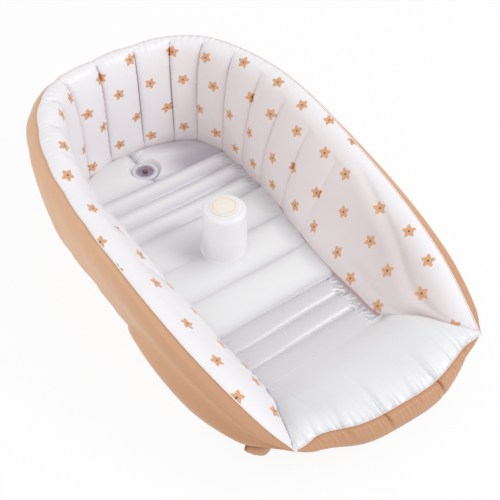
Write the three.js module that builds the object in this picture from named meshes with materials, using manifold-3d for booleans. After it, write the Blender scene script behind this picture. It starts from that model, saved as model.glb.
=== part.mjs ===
// Inflatable baby bathtub: an air-filled wall of welded cells round a ribbed floor mat, with a low
// sloped backrest end, a round pillar in the middle of the floor, a drain plug and two air valves.
// Millimetres. The tub stands on z = 0, +X runs to the low backrest end, and +Z is up.

import * as THREE from 'three';
import { mergeVertices } from 'three/addons/utils/BufferGeometryUtils.js';
import Module from 'manifold-3d';

const wasm = await Module();
wasm.setup();

// Overall sizes of the blown-up tub
const tub_length = 863;
const rim_half_width = 250;
const head_rim_height = 278;
const corner_rim_height = 99;
const mat_height = 50;
const fit_gap = 0.3;

// Plan of the rim: how far it stays inside the overall length at each end
const head_swell_depth = 20;
const foot_swell_depth = 17;
const foot_bow_depth = 31;

// Floor outline at mat height, measured from the rim's ends
const floor_half_width = 162;
const floor_head_inset = 26;
const pad_start_inset = 140;
const pad_start_half_width = 125;

// Wall
const rim_curl_width = 48;
const rim_curl_height = 10;
const full_curl_height = 90;
const inner_lean_depth = 6;
const weld_depth = 14;
const outer_swell_depth = 20;
const base_sheet_thickness = 3;

// Floor mat ribs, with their lengths as shares of the floor's run
const rib_rise = 2;
const rib_groove_depth = 9;
const rib_end_drop = 7;
const head_lobe_share = 0.159;
const narrow_rib_share = 0.0731;
const wide_rib_share = 0.1415;
const narrow_ribs_at_head = 3;
const wide_ribs = 3;
const narrow_ribs_at_pad = 3;

// Backrest pad
const pad_crown_height = 24;
const pad_front_thickness = 20;

// Pillar
const pillar_diameter = 80;
const pillar_height = 97;
const pillar_edge_radius = 9;
const pillar_from_head = 362;
const pillar_disc_diameter = 51;
const pillar_disc_thickness = 1.6;
const pillar_flange_width = 6;
const weld_sheet_thickness = 1.5;

// Drain
const drain_from_head = 86;
const drain_flange_diameter = 54;
const drain_flange_thickness = 3;
const drain_sleeve_diameter = 36;
const drain_bore_diameter = 29;
const drain_plug_depth = 12;
const drain_tab_height = 5;
const drain_tab_length = 12;
const drain_tab_thickness = 8;
const drain_plug_recess = 2;
const drain_plug_taper = 1.2;
const drain_sleeve_lift = 0.5;

// Air valves
const valve_flange_diameter = 36;
const valve_flange_thickness = 1.6;
const valve_stem_diameter = 13;
const valve_bore_diameter = 9;
const valve_stem_height = 5;
const valve_stem_depth = 6;
const valve_pocket_depth = 20;
const stopper_cap_diameter = 14;
const stopper_cap_thickness = 2.2;
const stopper_plug_depth = 3;
const stopper_plug_taper = 1;
const strap_width = 5;
const strap_thickness = 1.4;
const strap_reach = 14.5;
const strap_knuckle_diameter = 2;
const flap_overlap = 1;
const flap_thickness = 1;
const valve_seat_depth = 2.4;
const wall_valve_station = 2.1;
const wall_valve_height = 190;
const floor_valve_station = 3.1;
const floor_valve_height = 95;

// Weld beads and corner tips
const bead_radius = 1;
const tip_length = 6;
const tip_width = 6;
const tip_end_width = 2.5;
const tip_thickness = 1.6;
const tip_clearance = 1.2;
const bead_lift_share = 1.05;

// Corner tucks
const tuck_start_station = 10;
const tuck_end_station = 11;
const tuck_width = 40;
const tuck_reach = 9;
const tuck_narrow_share = 0.5;
const tuck_rise_share = 0.9;
const tuck_upper_share = 0.5;
const tuck_edge_share = 0.17;
const tuck_lower_share = 0.25;
const tuck_steps = 4;

// Smoothness
const span_steps = 4;
const inner_steps = 8;
const back_steps = 3;
const outer_steps = 10;
const pad_steps = 8;
const pad_under_steps = 3;
const pad_span_steps = 5;
const bead_sides = 4;
const rib_steps = 4;
const round_steps = 32;
const small_round_steps = 16;
const cut_overrun = 4;

const tan_skin = { color: 0xd4a884, roughness: 0.45, metalness: 0 };
const white_skin = { color: 0xf3eff2, roughness: 0.35, metalness: 0 };
const mat_skin = { color: 0xe6e7ea, roughness: 0.3, metalness: 0 };
const clear_plastic = { color: 0xcfcfdc, roughness: 0.15, metalness: 0 };
const cream_print = { color: 0xf7ede1, roughness: 0.5, metalness: 0 };
const brown_plastic = { color: 0xa8785a, roughness: 0.35, metalness: 0 };

// Rim and floor stations on the +Y side, from beside the head's middle to the corner of the low end.
// Stations 0 to 7 are the welds between the wall's air cells, and 10 is the pad's front corner.
const rim_x_shares = [0.006, 0.024, 0.078, 0.151, 0.241, 0.334, 0.426, 0.521, 0.643, 0.769, 0.888, 0.951, 1];
const rim_y_shares = [0.168, 0.488, 0.716, 0.852, 0.948, 0.988, 1, 0.994, 0.976, 0.936, 0.868, 0.814, 0.756];
const rim_z_shares = [0.998, 0.989, 0.978, 0.939, 0.883, 0.816, 0.721, 0.62, 0.486, 0.33, 0.168, 0.067, 0];
const floor_x_shares = [0.002, 0.03, 0.068, 0.158, 0.262, 0.368, 0.501, 0.631, 0.765, 0.89];
const floor_y_shares = [0.235, 0.605, 0.84, 0.988, 1, 0.966, 0.908, 0.846, 0.79, 0.768];
const last_weld = 7;
const head_wall_end = 1;
const head_side_wall_end = 4;
const half_cell = 1 / 2;
const corner_clear_share = 0.03;
const pad_station = 10;
const corner_station = rim_x_shares.length - 1;

// Outward places of the outer skin at each station, as shares of the outer swell
const shoulder_shares = [0.6, 0.65, 0.7, 0.65, 0.55, 0.5, 0.5, 0.6, 0.7, 0.75, 0.7, 0.5, 0.1];
const equator_shares = [1.2, 1.35, 1.4, 1.25, 1.05, 0.95, 0.9, 0.95, 1.05, 1.1, 1, 0.7, 0.15];
const crease_shares = [0.9, 1, 1, 0.85, 0.75, 0.65, 0.4, 0.2, 0.15, 0.15, 0.2, 0.2, 0.1];
const lower_shares = [0.4, 0.45, 0.4, 0.15, -0.15, -0.45, -0.45, -0.1, 0.45, 0.7, 0.6, 0.35, 0.1];
const low_edge_shares = [-0.1, -0.15, -0.4, -0.55, -0.9, -1.1, -1.1, -0.75, -0.1, 0.2, 0.1, 0, 0];
const ground_shares = [-0.6, -0.7, -1, -1.2, -1.3, -1.4, -1.4, -1.3, -1, -0.7, -0.5, -0.2, 0];
const shoulder_height_share = 0.965;
const equator_height_share = 0.84;
const crease_height_share = 0.5;
const lower_height_share = 0.27;
const low_edge_height_share = 0.07;

// How deep each weld is pulled in, how high it runs up the wall, and how far the wall's underside
// is lifted, as shares of the weld depth, the profile and the corner's height
const weld_depth_shares = [1, 1, 1, 0.9, 0.75, 0.65, 0.6, 0.5, 0, 0, 0, 0, 0];
const weld_top_shares = [0.96, 0.96, 0.94, 0.9, 0.82, 0.76, 0.72, 0.7, 0.7, 0.7, 0.7, 0.7, 0.7];
const underside_shares = [0, 0, 0, 0, 0, 0, 0, 0, 0, 0.03, 0.28, 0.7, 0.97];
const back_share = 0.5;

// How far the inner skin leans in over the floor (below zero it leans out) and curls in under the rim
const lean_shares = [1, 1, 1, 1, 1, 1, 0.3, -1.8, -3.6, -4, -2.2, -0.3, 1];
const curl_shares = [1, 1, 1, 1, 1, 1, 1, 0.85, 0.7, 0.6, 0.75, 0.9, 1];

// Shapes of the curves
const lean_height_share = 0.42;
const weld_foot_share = 0.03;
const weld_round_power = 0.5;
const cell_round_power = 0.6;
const rib_round_power = 0.5;
const rib_end_power = 8;
const lobe_split_share = 0.3;
const pad_long_power = 2.4;
const pad_crown_power = 0.8;
const pad_side_power = 0.55;
const pad_thin_share = 0.9;
const foot_lift_share = 0.97;
const foot_lift_power = 3.2;
const foot_swell_power = 3;
const foot_out_shares = [0, 0.65, 1, 0.4];
const foot_out_height_shares = [1, 0.96, 0.73, 0.49];
const foot_under_shares = [0.1, 0.38, 0.56];
const foot_under_height_shares = [0.37, 0.15, 0];

const head_rim_x = -tub_length / 2 + head_swell_depth;
const foot_seam_x = tub_length / 2 - foot_swell_depth;
const corner_x = foot_seam_x - foot_bow_depth;
const rim_run = corner_x - head_rim_x;
const floor_head_x = head_rim_x + floor_head_inset;
const pad_start_x = corner_x - pad_start_inset;
const floor_run = pad_start_x - floor_head_x;
const pillar_x = head_rim_x + pillar_from_head;
const drain_x = head_rim_x + drain_from_head;
const sheet_top = base_sheet_thickness + fit_gap;

// Curves through the stations, from the -Y corner round the head to the +Y corner
const through = (points) => new THREE.CatmullRomCurve3(points, false, 'centripetal');
const mirrored = (points) => through([
  ...points.map((p) => new THREE.Vector3(p.x, -p.y, p.z)).reverse(),
  ...points,
]);
const rim_points = rim_x_shares.map((x_share, i) => new THREE.Vector3(
  head_rim_x + rim_run * x_share,
  rim_half_width * rim_y_shares[i],
  corner_rim_height + (head_rim_height - corner_rim_height) * rim_z_shares[i],
));
const corner_point = rim_points[corner_station];
const pad_front_corner = new THREE.Vector3(pad_start_x, pad_start_half_width, mat_height);
const floor_points = floor_x_shares.map((x_share, i) => new THREE.Vector3(
  floor_head_x + floor_run * x_share,
  floor_half_width * floor_y_shares[i],
  mat_height,
));
floor_points.push(pad_front_corner, pad_front_corner.clone().lerp(corner_point, 1 / 2), corner_point);
const rim_curve = mirrored(rim_points);
const floor_curve = mirrored(floor_points);

// Place 0 is the head's middle, and the +Y side's stations are at places 0.5, 1.5, 2.5 and so on
const place_of = (station) => station + half_cell;
const curve_t = (place) => (place + place_of(corner_station)) / (2 * place_of(corner_station));

// A share table read at a place, smooth between stations and alike on both sides
function share_at(shares, place) {
  const at = Math.min(Math.max(Math.abs(place) - half_cell, 0), shares.length - 1);
  const i = Math.min(Math.floor(at), shares.length - 2);
  const before = shares[Math.max(i - 1, 0)];
  const after = shares[Math.min(i + 2, shares.length - 1)];
  const f = at - i;
  const slope_0 = (shares[i + 1] - before) / 2;
  const slope_1 = (after - shares[i]) / 2;
  return shares[i] * (2 * f ** 3 - 3 * f ** 2 + 1) + slope_0 * (f ** 3 - 2 * f ** 2 + f)
    + shares[i + 1] * (3 * f ** 2 - 2 * f ** 3) + slope_1 * (f ** 3 - f ** 2);
}

// Height of the wall's underside, which leaves the ground towards the low corners
const lowest_at = (place) => corner_rim_height * Math.max(share_at(underside_shares, place), 0);

// One upright cross-section of the wall at a place
function section(place) {
  const rim = rim_curve.getPoint(curve_t(place));
  const foot = floor_curve.getPoint(curve_t(place));
  const along = rim_curve.getTangent(curve_t(place));
  const normal = new THREE.Vector3(-along.y, along.x, 0).normalize();
  const out = new THREE.Vector3(rim.x - foot.x, rim.y - foot.y, 0);
  const reach = out.length();
  return { place, rim, foot, normal, out: out.normalize(), reach };
}

// Inner skin from the floor's edge up to the rim, pulled in by weld (0 between welds, 1 on one)
function inner_points(s, weld, steps) {
  const rise = s.rim.z - s.foot.z;
  const fullness = Math.min(1, rise / full_curl_height);
  const lean = inner_lean_depth * share_at(lean_shares, s.place) * fullness;
  const curl = rim_curl_width * share_at(curl_shares, s.place) * fullness;
  const profile = new THREE.CubicBezierCurve(
    new THREE.Vector2(0, 0),
    new THREE.Vector2(-lean, rise * lean_height_share),
    new THREE.Vector2(s.reach - curl, rise + rim_curl_height * fullness),
    new THREE.Vector2(s.reach, rise),
  );
  const top = share_at(weld_top_shares, s.place);
  const pull = weld_depth * share_at(weld_depth_shares, s.place) * weld;
  return Array.from({ length: steps + 1 }, (_, j) => {
    const t = j / steps;
    const p = profile.getPoint(t);
    const side = profile.getTangent(t);
    const bow = Math.sin(Math.PI * (weld_foot_share + (1 - weld_foot_share) * Math.min(t / top, 1)));
    const depth = t < top ? pull * Math.max(bow, 0) ** weld_round_power : 0;
    return s.foot.clone()
      .addScaledVector(s.out, p.x + side.y * depth)
      .add(new THREE.Vector3(0, 0, p.y - side.x * depth));
  });
}

// Outer skin from the rim down to its lowest edge
function outer_points(s, steps) {
  const lowest = lowest_at(s.place);
  const tall = s.rim.z - lowest;
  const profile = new THREE.SplineCurve([
    new THREE.Vector2(0, tall),
    new THREE.Vector2(outer_swell_depth * share_at(shoulder_shares, s.place), tall * shoulder_height_share),
    new THREE.Vector2(outer_swell_depth * share_at(equator_shares, s.place), tall * equator_height_share),
    new THREE.Vector2(outer_swell_depth * share_at(crease_shares, s.place), tall * crease_height_share),
    new THREE.Vector2(outer_swell_depth * share_at(lower_shares, s.place), tall * lower_height_share),
    new THREE.Vector2(outer_swell_depth * share_at(low_edge_shares, s.place), tall * low_edge_height_share),
    new THREE.Vector2(outer_swell_depth * share_at(ground_shares, s.place), 0),
  ]);
  return profile.getPoints(steps).map((p) => new THREE.Vector3(s.rim.x, s.rim.y, lowest + p.y)
    .addScaledVector(s.normal, p.x));
}

// Surface where the inner and outer skins' air spaces are parted, from just under the rim down
function back_points(s, lift) {
  const inner = inner_points(s, 0, back_steps);
  const outer = outer_points(s, back_steps);
  const ground = outer[back_steps];
  return Array.from({ length: back_steps }, (_, j) => {
    if (j === back_steps - 1) {
      return s.foot.clone().lerp(ground, back_share).setZ(ground.z + lift);
    }
    return inner[back_steps - 1 - j].clone().lerp(outer[j + 1], back_share);
  });
}

// A closed solid through a row of rings with equally many points. A ring goes along one side of the
// section, split points long, and comes back along the other, and each end is closed across the two.
function loft(rings, split) {
  const size = rings[0].length;
  const positions = rings.flat().flatMap((p) => p.toArray());
  const faces = [];
  for (let r = 0; r < rings.length - 1; r += 1) {
    for (let i = 0; i < size; i += 1) {
      const a = r * size + i;
      const b = r * size + ((i + 1) % size);
      faces.push([a, b, b + size], [a, b + size, a + size]);
    }
  }
  const close_end = (first, turned_over) => {
    let i = 0;
    let j = size - 1;
    while (i < split - 1 || j > split) {
      const gone = i / (split - 1);
      const come = (size - 1 - j) / (size - 1 - split);
      const go_out = j === split || (i < split - 1 && gone <= come);
      const [a, b, c] = go_out ? [i, j, i + 1] : [i, j, j - 1];
      faces.push(turned_over ? [first + a, first + c, first + b] : [first + a, first + b, first + c]);
      i += go_out ? 1 : 0;
      j -= go_out ? 0 : 1;
    }
  };
  close_end(0, false);
  close_end((rings.length - 1) * size, true);
  return outward(positions, faces);
}

// An indexed geometry whose faces point out
function outward(positions, faces) {
  const at = (i) => new THREE.Vector3(positions[3 * i], positions[3 * i + 1], positions[3 * i + 2]);
  const volume = faces.reduce((sum, [a, b, c]) => sum + at(a).dot(at(b).cross(at(c))), 0);
  const geometry = new THREE.BufferGeometry();
  geometry.setAttribute('position', new THREE.Float32BufferAttribute(positions, 3));
  geometry.setIndex(faces.flatMap(([a, b, c]) => (volume > 0 ? [a, b, c] : [a, c, b])));
  return geometry;
}

// Joins and cuts
function to_solid(geometry) {
  const bare = geometry.clone();
  bare.deleteAttribute('normal');
  bare.deleteAttribute('uv');
  const merged = mergeVertices(bare);
  return new wasm.Manifold(new wasm.Mesh({
    numProp: 3,
    vertProperties: Float32Array.from(merged.attributes.position.array),
    triVerts: Uint32Array.from(merged.index.array),
  }));
}

function to_geometry(solid) {
  const mesh = solid.getMesh();
  const geometry = new THREE.BufferGeometry();
  geometry.setAttribute('position', new THREE.BufferAttribute(mesh.vertProperties, 3));
  geometry.setIndex(new THREE.BufferAttribute(mesh.triVerts, 1));
  return geometry;
}

const without = (left, tool) => left.subtract(to_solid(tool));
const cut = (body, tools) => to_geometry(tools.reduce(without, to_solid(body)));
const join = (bodies) => to_geometry(bodies.map(to_solid).reduce((all, one) => all.add(one)));

// A round solid about Z whose profile is a list of [radius, height] points
function turned(profile, steps = round_steps) {
  const points = profile.map(([r, z]) => new THREE.Vector2(r, z));
  return to_geometry(to_solid(new THREE.LatheGeometry(points, steps).rotateX(Math.PI / 2)));
}

const cylinder = (diameter, bottom, top, steps = round_steps) => turned([
  [0, bottom],
  [diameter / 2, bottom],
  [diameter / 2, top],
  [0, top],
], steps);

const ring_plate = (inner_diameter, outer_diameter, bottom, top) => turned([
  [inner_diameter / 2, bottom],
  [outer_diameter / 2, bottom],
  [outer_diameter / 2, top],
  [inner_diameter / 2, top],
  [inner_diameter / 2, bottom],
]);

const tub = new THREE.Group();

function add_part(name, geometry, material, parent = tub) {
  const mesh = new THREE.Mesh(geometry, new THREE.MeshStandardMaterial(material));
  mesh.name = name;
  parent.add(mesh);
  return mesh;
}

const spaced = (from, to, steps) => Array.from(
  { length: steps + 1 },
  (_, i) => from + ((to - from) * i) / steps,
);

// Places where every piece of the wall has a ring, so that the faces of neighbours run alike
function places_between(from, to) {
  const places = [from];
  for (let k = Math.floor(from * span_steps) + 1; k < to * span_steps; k += 1) {
    places.push(k / span_steps);
  }
  return [...places, to];
}

// Air cells of the printed inner wall: one at the head and eight down each side
const end_place = place_of(corner_station) - corner_clear_share;
const across = (s) => new THREE.Vector3(-s.out.y, s.out.x, 0);

function cell_ring(place, weld, shift) {
  const s = section(place);
  const bottom = lowest_at(place) + sheet_top;
  const inner = inner_points(s, weld, inner_steps);
  const base = inner[0].clone().setZ(bottom);
  inner[inner_steps].addScaledVector(s.normal, -fit_gap / 2);
  const back = back_points(s, sheet_top).map((p) => p.addScaledVector(s.normal, -fit_gap / 2));
  return [base, ...inner, ...back].map((p) => p.addScaledVector(across(s), shift));
}

function wall_cell(from, to) {
  const rings = places_between(from, to).map((place) => {
    const v = (place - from) / (to - from);
    const weld = 1 - Math.max(1 - (2 * v - 1) ** 2, 0) ** cell_round_power;
    const shift = (place === from ? -fit_gap / 2 : 0) + (place === to ? fit_gap / 2 : 0);
    return cell_ring(place, weld, shift);
  });
  return loft(rings, inner_steps + 2);
}

add_part('wall_cell_head', wall_cell(place_of(-1), place_of(0)), white_skin);
for (let k = 0; k <= last_weld; k += 1) {
  const from = place_of(k);
  const to = k < last_weld ? place_of(k + 1) : end_place;
  add_part(`wall_cell_right_${k + 1}`, wall_cell(from, to), white_skin);
  add_part(`wall_cell_left_${k + 1}`, wall_cell(-to, -from), white_skin);
}

// Outer wall sections
function outer_ring(place, shift) {
  const s = section(place);
  const outer = outer_points(s, outer_steps);
  outer[0].addScaledVector(s.normal, fit_gap / 2);
  const back = back_points(s, 0).map((p) => p.addScaledVector(s.normal, fit_gap / 2));
  const along = new THREE.Vector3(s.normal.y, -s.normal.x, 0);
  return [...outer, ...back.reverse()].map((p) => p.addScaledVector(along, shift));
}

function outer_wall(from, to) {
  const rings = places_between(from, to).map((place) => {
    const shift = (place === from ? fit_gap / 2 : 0) - (place === to ? fit_gap / 2 : 0);
    return outer_ring(place, shift);
  });
  return loft(rings.reverse(), outer_steps + 1);
}

const head_middle_end = place_of(head_wall_end);
const head_side_end = place_of(head_side_wall_end);
add_part('outer_wall_head_middle', outer_wall(-head_middle_end, head_middle_end), tan_skin);
for (const [side, turn] of [['right', 1], ['left', -1]]) {
  const piece = (from, to) => (turn > 0 ? outer_wall(from, to) : outer_wall(-to, -from));
  add_part(`outer_wall_head_${side}`, piece(head_middle_end, head_side_end), tan_skin);
  add_part(`outer_wall_side_${side}`, piece(head_side_end, end_place), tan_skin);
}

// Floor edge as the straight runs that the cells' lower edges follow
const edge_places = places_between(0, place_of(pad_station));
const flank_places = places_between(place_of(pad_station), end_place);
const edge_line = edge_places.map((place) => section(place).foot);
const flank_line = flank_places.map((place) => section(place).foot);

function floor_half_width_at(x) {
  const i = Math.min(Math.max(edge_line.findIndex((p) => p.x >= x), 1), edge_line.length - 1);
  const [a, b] = [edge_line[i - 1], edge_line[i]];
  return a.y + ((b.y - a.y) * (x - a.x)) / (b.x - a.x) - 3 * fit_gap;
}

// Floor mat: two lobes at the head, then cross ribs between welded grooves
const ribs_before_pad_share = head_lobe_share + narrow_ribs_at_head * narrow_rib_share
  + wide_ribs * wide_rib_share;
const rib_shares = [
  head_lobe_share,
  ...Array(narrow_ribs_at_head).fill(narrow_rib_share),
  ...Array(wide_ribs).fill(wide_rib_share),
  ...Array(narrow_ribs_at_pad).fill((1 - ribs_before_pad_share) / narrow_ribs_at_pad),
];
const rib_ends = rib_shares.map((_, rib) => floor_head_x
  + floor_run * rib_shares.slice(0, rib + 1).reduce((sum, share) => sum + share));
const mat_across_shares = [-1, -0.9, -0.75, -0.35, -0.06, 0, 0.06, 0.35, 0.75, 0.9, 1];

function mat_ring(x, rib_share, split_share) {
  const half = floor_half_width_at(x);
  const top = mat_across_shares.map((share) => {
    const end_fall = Math.abs(share) ** rib_end_power;
    const middle_fall = split_share * Math.max(0, 1 - Math.abs(share) / lobe_split_share);
    const fall = Math.max(rib_share, middle_fall) * (rib_groove_depth + rib_rise);
    const z = mat_height + rib_rise - fall - (rib_rise + rib_end_drop) * end_fall * (1 - rib_share);
    return new THREE.Vector3(x, half * share, z);
  });
  return [...top, new THREE.Vector3(x, half, sheet_top), new THREE.Vector3(x, -half, sheet_top)];
}

function mat_rings() {
  const rings = [];
  let from = edge_line[0].x + fit_gap;
  rib_ends.forEach((to, rib) => {
    const steps = rib === 0 ? 2 * rib_steps : rib_steps;
    spaced(from, to, steps).slice(rib === 0 ? 0 : 1).forEach((x) => {
      const v = (x - from) / (to - from);
      const rib_share = 1 - (1 - (2 * v - 1) ** 2) ** rib_round_power;
      const at_head = rib === 0 && v < 1 / 2;
      const drop_share = at_head ? rib_end_drop / rib_groove_depth : 1;
      rings.push(mat_ring(x, rib_share * drop_share, rib === 0 ? 1 : 0));
    });
    from = to;
  });
  return rings;
}

const mat_body = loft(mat_rings(), mat_across_shares.length);
const through_mat = [-cut_overrun, mat_height + cut_overrun];
const pillar_seat_diameter = pillar_diameter + 2 * pillar_flange_width + 2 * fit_gap;
const drain_seat_diameter = drain_flange_diameter + 2 * fit_gap;
const drain_hole_diameter = drain_sleeve_diameter + 2 * fit_gap;
const above_mat = mat_height + cut_overrun;
const drain_seat_bottom = mat_height - rib_groove_depth;
const mat = cut(mat_body, [
  cylinder(pillar_seat_diameter, mat_height - fit_gap, above_mat).translate(pillar_x, 0, 0),
  cylinder(drain_seat_diameter, drain_seat_bottom, above_mat).translate(drain_x, 0, 0),
  cylinder(drain_hole_diameter, ...through_mat).translate(drain_x, 0, 0),
]);
add_part('floor_mat', mat, mat_skin);

// Base sheet under the mat and the wall, on which the tub rests
const base_line = places_between(-place_of(pad_station), place_of(pad_station)).map((place) => {
  const s = section(place);
  return back_points(s, 0)[back_steps - 1].addScaledVector(s.normal, -fit_gap / 2);
});
const base_outline = base_line.flatMap((p, i) => {
  const next = base_line[i + 1];
  const kept = p.x <= pad_start_x ? [p] : [];
  if (next && (p.x <= pad_start_x) !== (next.x <= pad_start_x)) {
    return [...kept, p.clone().lerp(next, (pad_start_x - p.x) / (next.x - p.x))];
  }
  return kept;
});
const base_shape = new THREE.Shape(base_outline.map((p) => new THREE.Vector2(p.x, p.y)));
const base_plate = new THREE.ExtrudeGeometry(base_shape, {
  depth: base_sheet_thickness,
  bevelEnabled: false,
});
const drain_hole = cylinder(drain_hole_diameter, ...through_mat).translate(drain_x, 0, 0);
add_part('base_sheet', cut(base_plate, [drain_hole]), tan_skin);

// Front edge of the backrest pad, from the +Y corner's side wall to the -Y one, kept clear of both
const flank_edge = flank_line.map((p, i) => {
  const last = flank_line.length - 1;
  const along = flank_line[Math.min(i + 1, last)].clone().sub(flank_line[Math.max(i - 1, 0)]);
  const inward = new THREE.Vector3(along.y, -along.x, 0).normalize();
  const clear = p.clone().addScaledVector(inward, 3 / 2 * fit_gap);
  return clear.setX(Math.max(clear.x, pad_start_x + fit_gap));
});
const middle_edge = spaced(0, flank_edge[0].y, pad_span_steps).slice(0, -1)
  .map((y) => new THREE.Vector3(pad_start_x + fit_gap, y, mat_height));
const half_edge = [...middle_edge, ...flank_edge];
const pad_front_edge = [
  ...half_edge.slice(1).reverse().map((p) => new THREE.Vector3(p.x, -p.y, p.z)),
  ...half_edge,
];
const side_share = (y) => Math.abs(y) / corner_point.y;
const seam_point = (y) => new THREE.Vector3(
  foot_seam_x - foot_bow_depth * side_share(y) ** 2,
  y,
  corner_rim_height,
);

// Underside of the pad at a front edge point, p being 0 at the front and 1 at the seam
function pad_under(front, p, lower) {
  const flank = Math.max(0, Math.abs(front.y) - flank_edge[0].y) / (corner_point.y - flank_edge[0].y);
  const thickness = pad_front_thickness * (1 - pad_thin_share * flank ** 2);
  const point = front.clone().lerp(seam_point(front.y), p);
  return point.setZ(point.z - thickness * (1 - p) - lower);
}

function pad_top(front, p) {
  const crown = pad_crown_height * Math.max(1 - side_share(front.y) ** 2, 0) ** pad_side_power;
  const point = front.clone().lerp(seam_point(front.y), p);
  const lift = Math.max(1 - Math.abs(2 * p - 1) ** pad_long_power, 0) ** pad_crown_power;
  return point.setZ(point.z + crown * lift);
}

const pad_rings = pad_front_edge.map((front) => [
  ...spaced(0, 1, pad_steps).map((p) => pad_top(front, p)),
  ...spaced(1, 0, pad_under_steps).slice(1).map((p) => pad_under(front, p, 0)),
]);
add_part('backrest_pad', loft(pad_rings, pad_steps + 1), mat_skin);

// Tan wall under the pad, swelling out past the seam and then running back down to the ground
function foot_ring(front) {
  const share = side_share(front.y);
  const seam = seam_point(front.y).setZ(corner_rim_height - 2 * fit_gap);
  const lowest = corner_rim_height * foot_lift_share * share ** foot_lift_power;
  const tall = seam.z - lowest;
  const run = seam.x - front.x;
  const swell = foot_swell_depth * (1 - share ** foot_swell_power);
  const outs = foot_out_shares.map((out, i) => [swell * out, tall * foot_out_height_shares[i]]);
  const unders = foot_under_shares.map((under, i) => [-run * under, tall * foot_under_height_shares[i]]);
  const profile = new THREE.SplineCurve([...outs, ...unders].map(([x, z]) => new THREE.Vector2(x, z)));
  const under_pad = spaced(0, 1, pad_under_steps).map((p) => pad_under(front, p, 2 * fit_gap));
  const outside = profile.getPoints(outer_steps).slice(1);
  return [
    ...under_pad,
    ...outside.map((p) => new THREE.Vector3(seam.x + p.x, front.y, lowest + p.y)),
    new THREE.Vector3(front.x, front.y, lowest),
  ];
}

add_part('outer_wall_foot', loft(pad_front_edge.map(foot_ring).reverse(), pad_under_steps + 1), tan_skin);

// Folded tan tucks under the two low corners
function tuck_ring(v) {
  const place = place_of(tuck_start_station + (tuck_end_station - tuck_start_station) * v);
  const s = section(place);
  const lowest = lowest_at(place) - fit_gap;
  const ground = outer_points(s, 1)[1];
  const away = ground.clone().sub(s.foot).setZ(0).normalize();
  const bottom = lowest * tuck_rise_share * v ** 2;
  const width = tuck_width * (1 - v * tuck_narrow_share);
  const at = (out, z) => ground.clone().addScaledVector(away, out).setZ(z);
  return [
    at(-width, lowest),
    at(-width * tuck_upper_share, lowest),
    at(tuck_reach * (1 - v), lowest - (lowest - bottom) * tuck_edge_share),
    at(tuck_reach * (1 - v), (lowest + bottom) / 2),
    at(-width * tuck_lower_share, bottom),
    at(-width, bottom),
  ];
}

const tuck_rings = spaced(0, 1, tuck_steps).map(tuck_ring);
add_part('corner_tuck_right', loft(tuck_rings, 3), tan_skin);
const mirror_ring = (ring) => ring.map((p) => new THREE.Vector3(p.x, -p.y, p.z));
add_part('corner_tuck_left', loft(tuck_rings.map(mirror_ring), 3), tan_skin);

// Pillar with its welded ring, top sheet and printed disc
const pillar_radius = pillar_diameter / 2;
const pillar_edge = spaced(0, Math.PI / 2, rib_steps / 2).map((angle) => [
  pillar_radius - pillar_edge_radius * (1 - Math.cos(angle)),
  pillar_height - pillar_edge_radius * (1 - Math.sin(angle)),
]);
const pillar_body = turned([[0, 0], [pillar_radius, 0], ...pillar_edge, [0, pillar_height]]);
const pillar_top = mat_height + pillar_height + fit_gap;
const pillar_sheet_diameter = pillar_diameter - 2 * pillar_edge_radius;
const weld_ring = ring_plate(
  pillar_diameter + 2 * fit_gap,
  pillar_diameter + 2 * pillar_flange_width,
  0,
  weld_sheet_thickness,
);
const disc_bottom = pillar_top + weld_sheet_thickness + fit_gap;
add_part('pillar_body', pillar_body.translate(pillar_x, 0, mat_height), mat_skin);
add_part('pillar_weld_ring', weld_ring.translate(pillar_x, 0, mat_height), mat_skin);
add_part('pillar_top_sheet', cylinder(pillar_sheet_diameter, pillar_top, pillar_top + weld_sheet_thickness)
  .translate(pillar_x, 0, 0), mat_skin);
add_part('pillar_disc', cylinder(pillar_disc_diameter, disc_bottom, disc_bottom + pillar_disc_thickness)
  .translate(pillar_x, 0, 0), cream_print);

// Drain: flange with its sleeve through the mat, and the plug with its pull tab
const drain_flange_bottom = mat_height - rib_groove_depth + fit_gap;
const drain_flange_top = drain_flange_bottom + drain_flange_thickness;
const bore_radius = drain_bore_diameter / 2;
const drain_fitting = turned([
  [bore_radius, drain_sleeve_lift],
  [drain_sleeve_diameter / 2, drain_sleeve_lift],
  [drain_sleeve_diameter / 2, drain_flange_bottom],
  [drain_flange_diameter / 2, drain_flange_bottom],
  [drain_flange_diameter / 2, drain_flange_top],
  [bore_radius, drain_flange_top],
  [bore_radius, drain_sleeve_lift],
]);
add_part('drain_fitting', drain_fitting.translate(drain_x, 0, 0), clear_plastic);
const plug_group = new THREE.Group();
plug_group.position.set(drain_x, 0, drain_flange_top - drain_plug_recess);
tub.add(plug_group);
const plug_radius = bore_radius - fit_gap;
add_part('drain_plug', turned([
  [0, -drain_plug_depth],
  [plug_radius - drain_plug_taper, -drain_plug_depth],
  [plug_radius, 0],
  [0, 0],
]), clear_plastic, plug_group);
add_part('drain_plug_tab', cylinder(drain_tab_length, fit_gap, drain_tab_height)
  .scale(1, drain_tab_thickness / drain_tab_length, 1), brown_plastic, plug_group);

// Weld beads along the rim and along the seam of the low end
function bead(centres, outs) {
  return loft(centres.map((centre, i) => Array.from({ length: bead_sides }, (_, k) => {
    const angle = Math.PI / 2 + (2 * Math.PI * k) / bead_sides;
    return centre.clone()
      .addScaledVector(outs[i], bead_radius * Math.cos(angle))
      .add(new THREE.Vector3(0, 0, bead_radius * Math.sin(angle)));
  })), 3);
}

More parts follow.
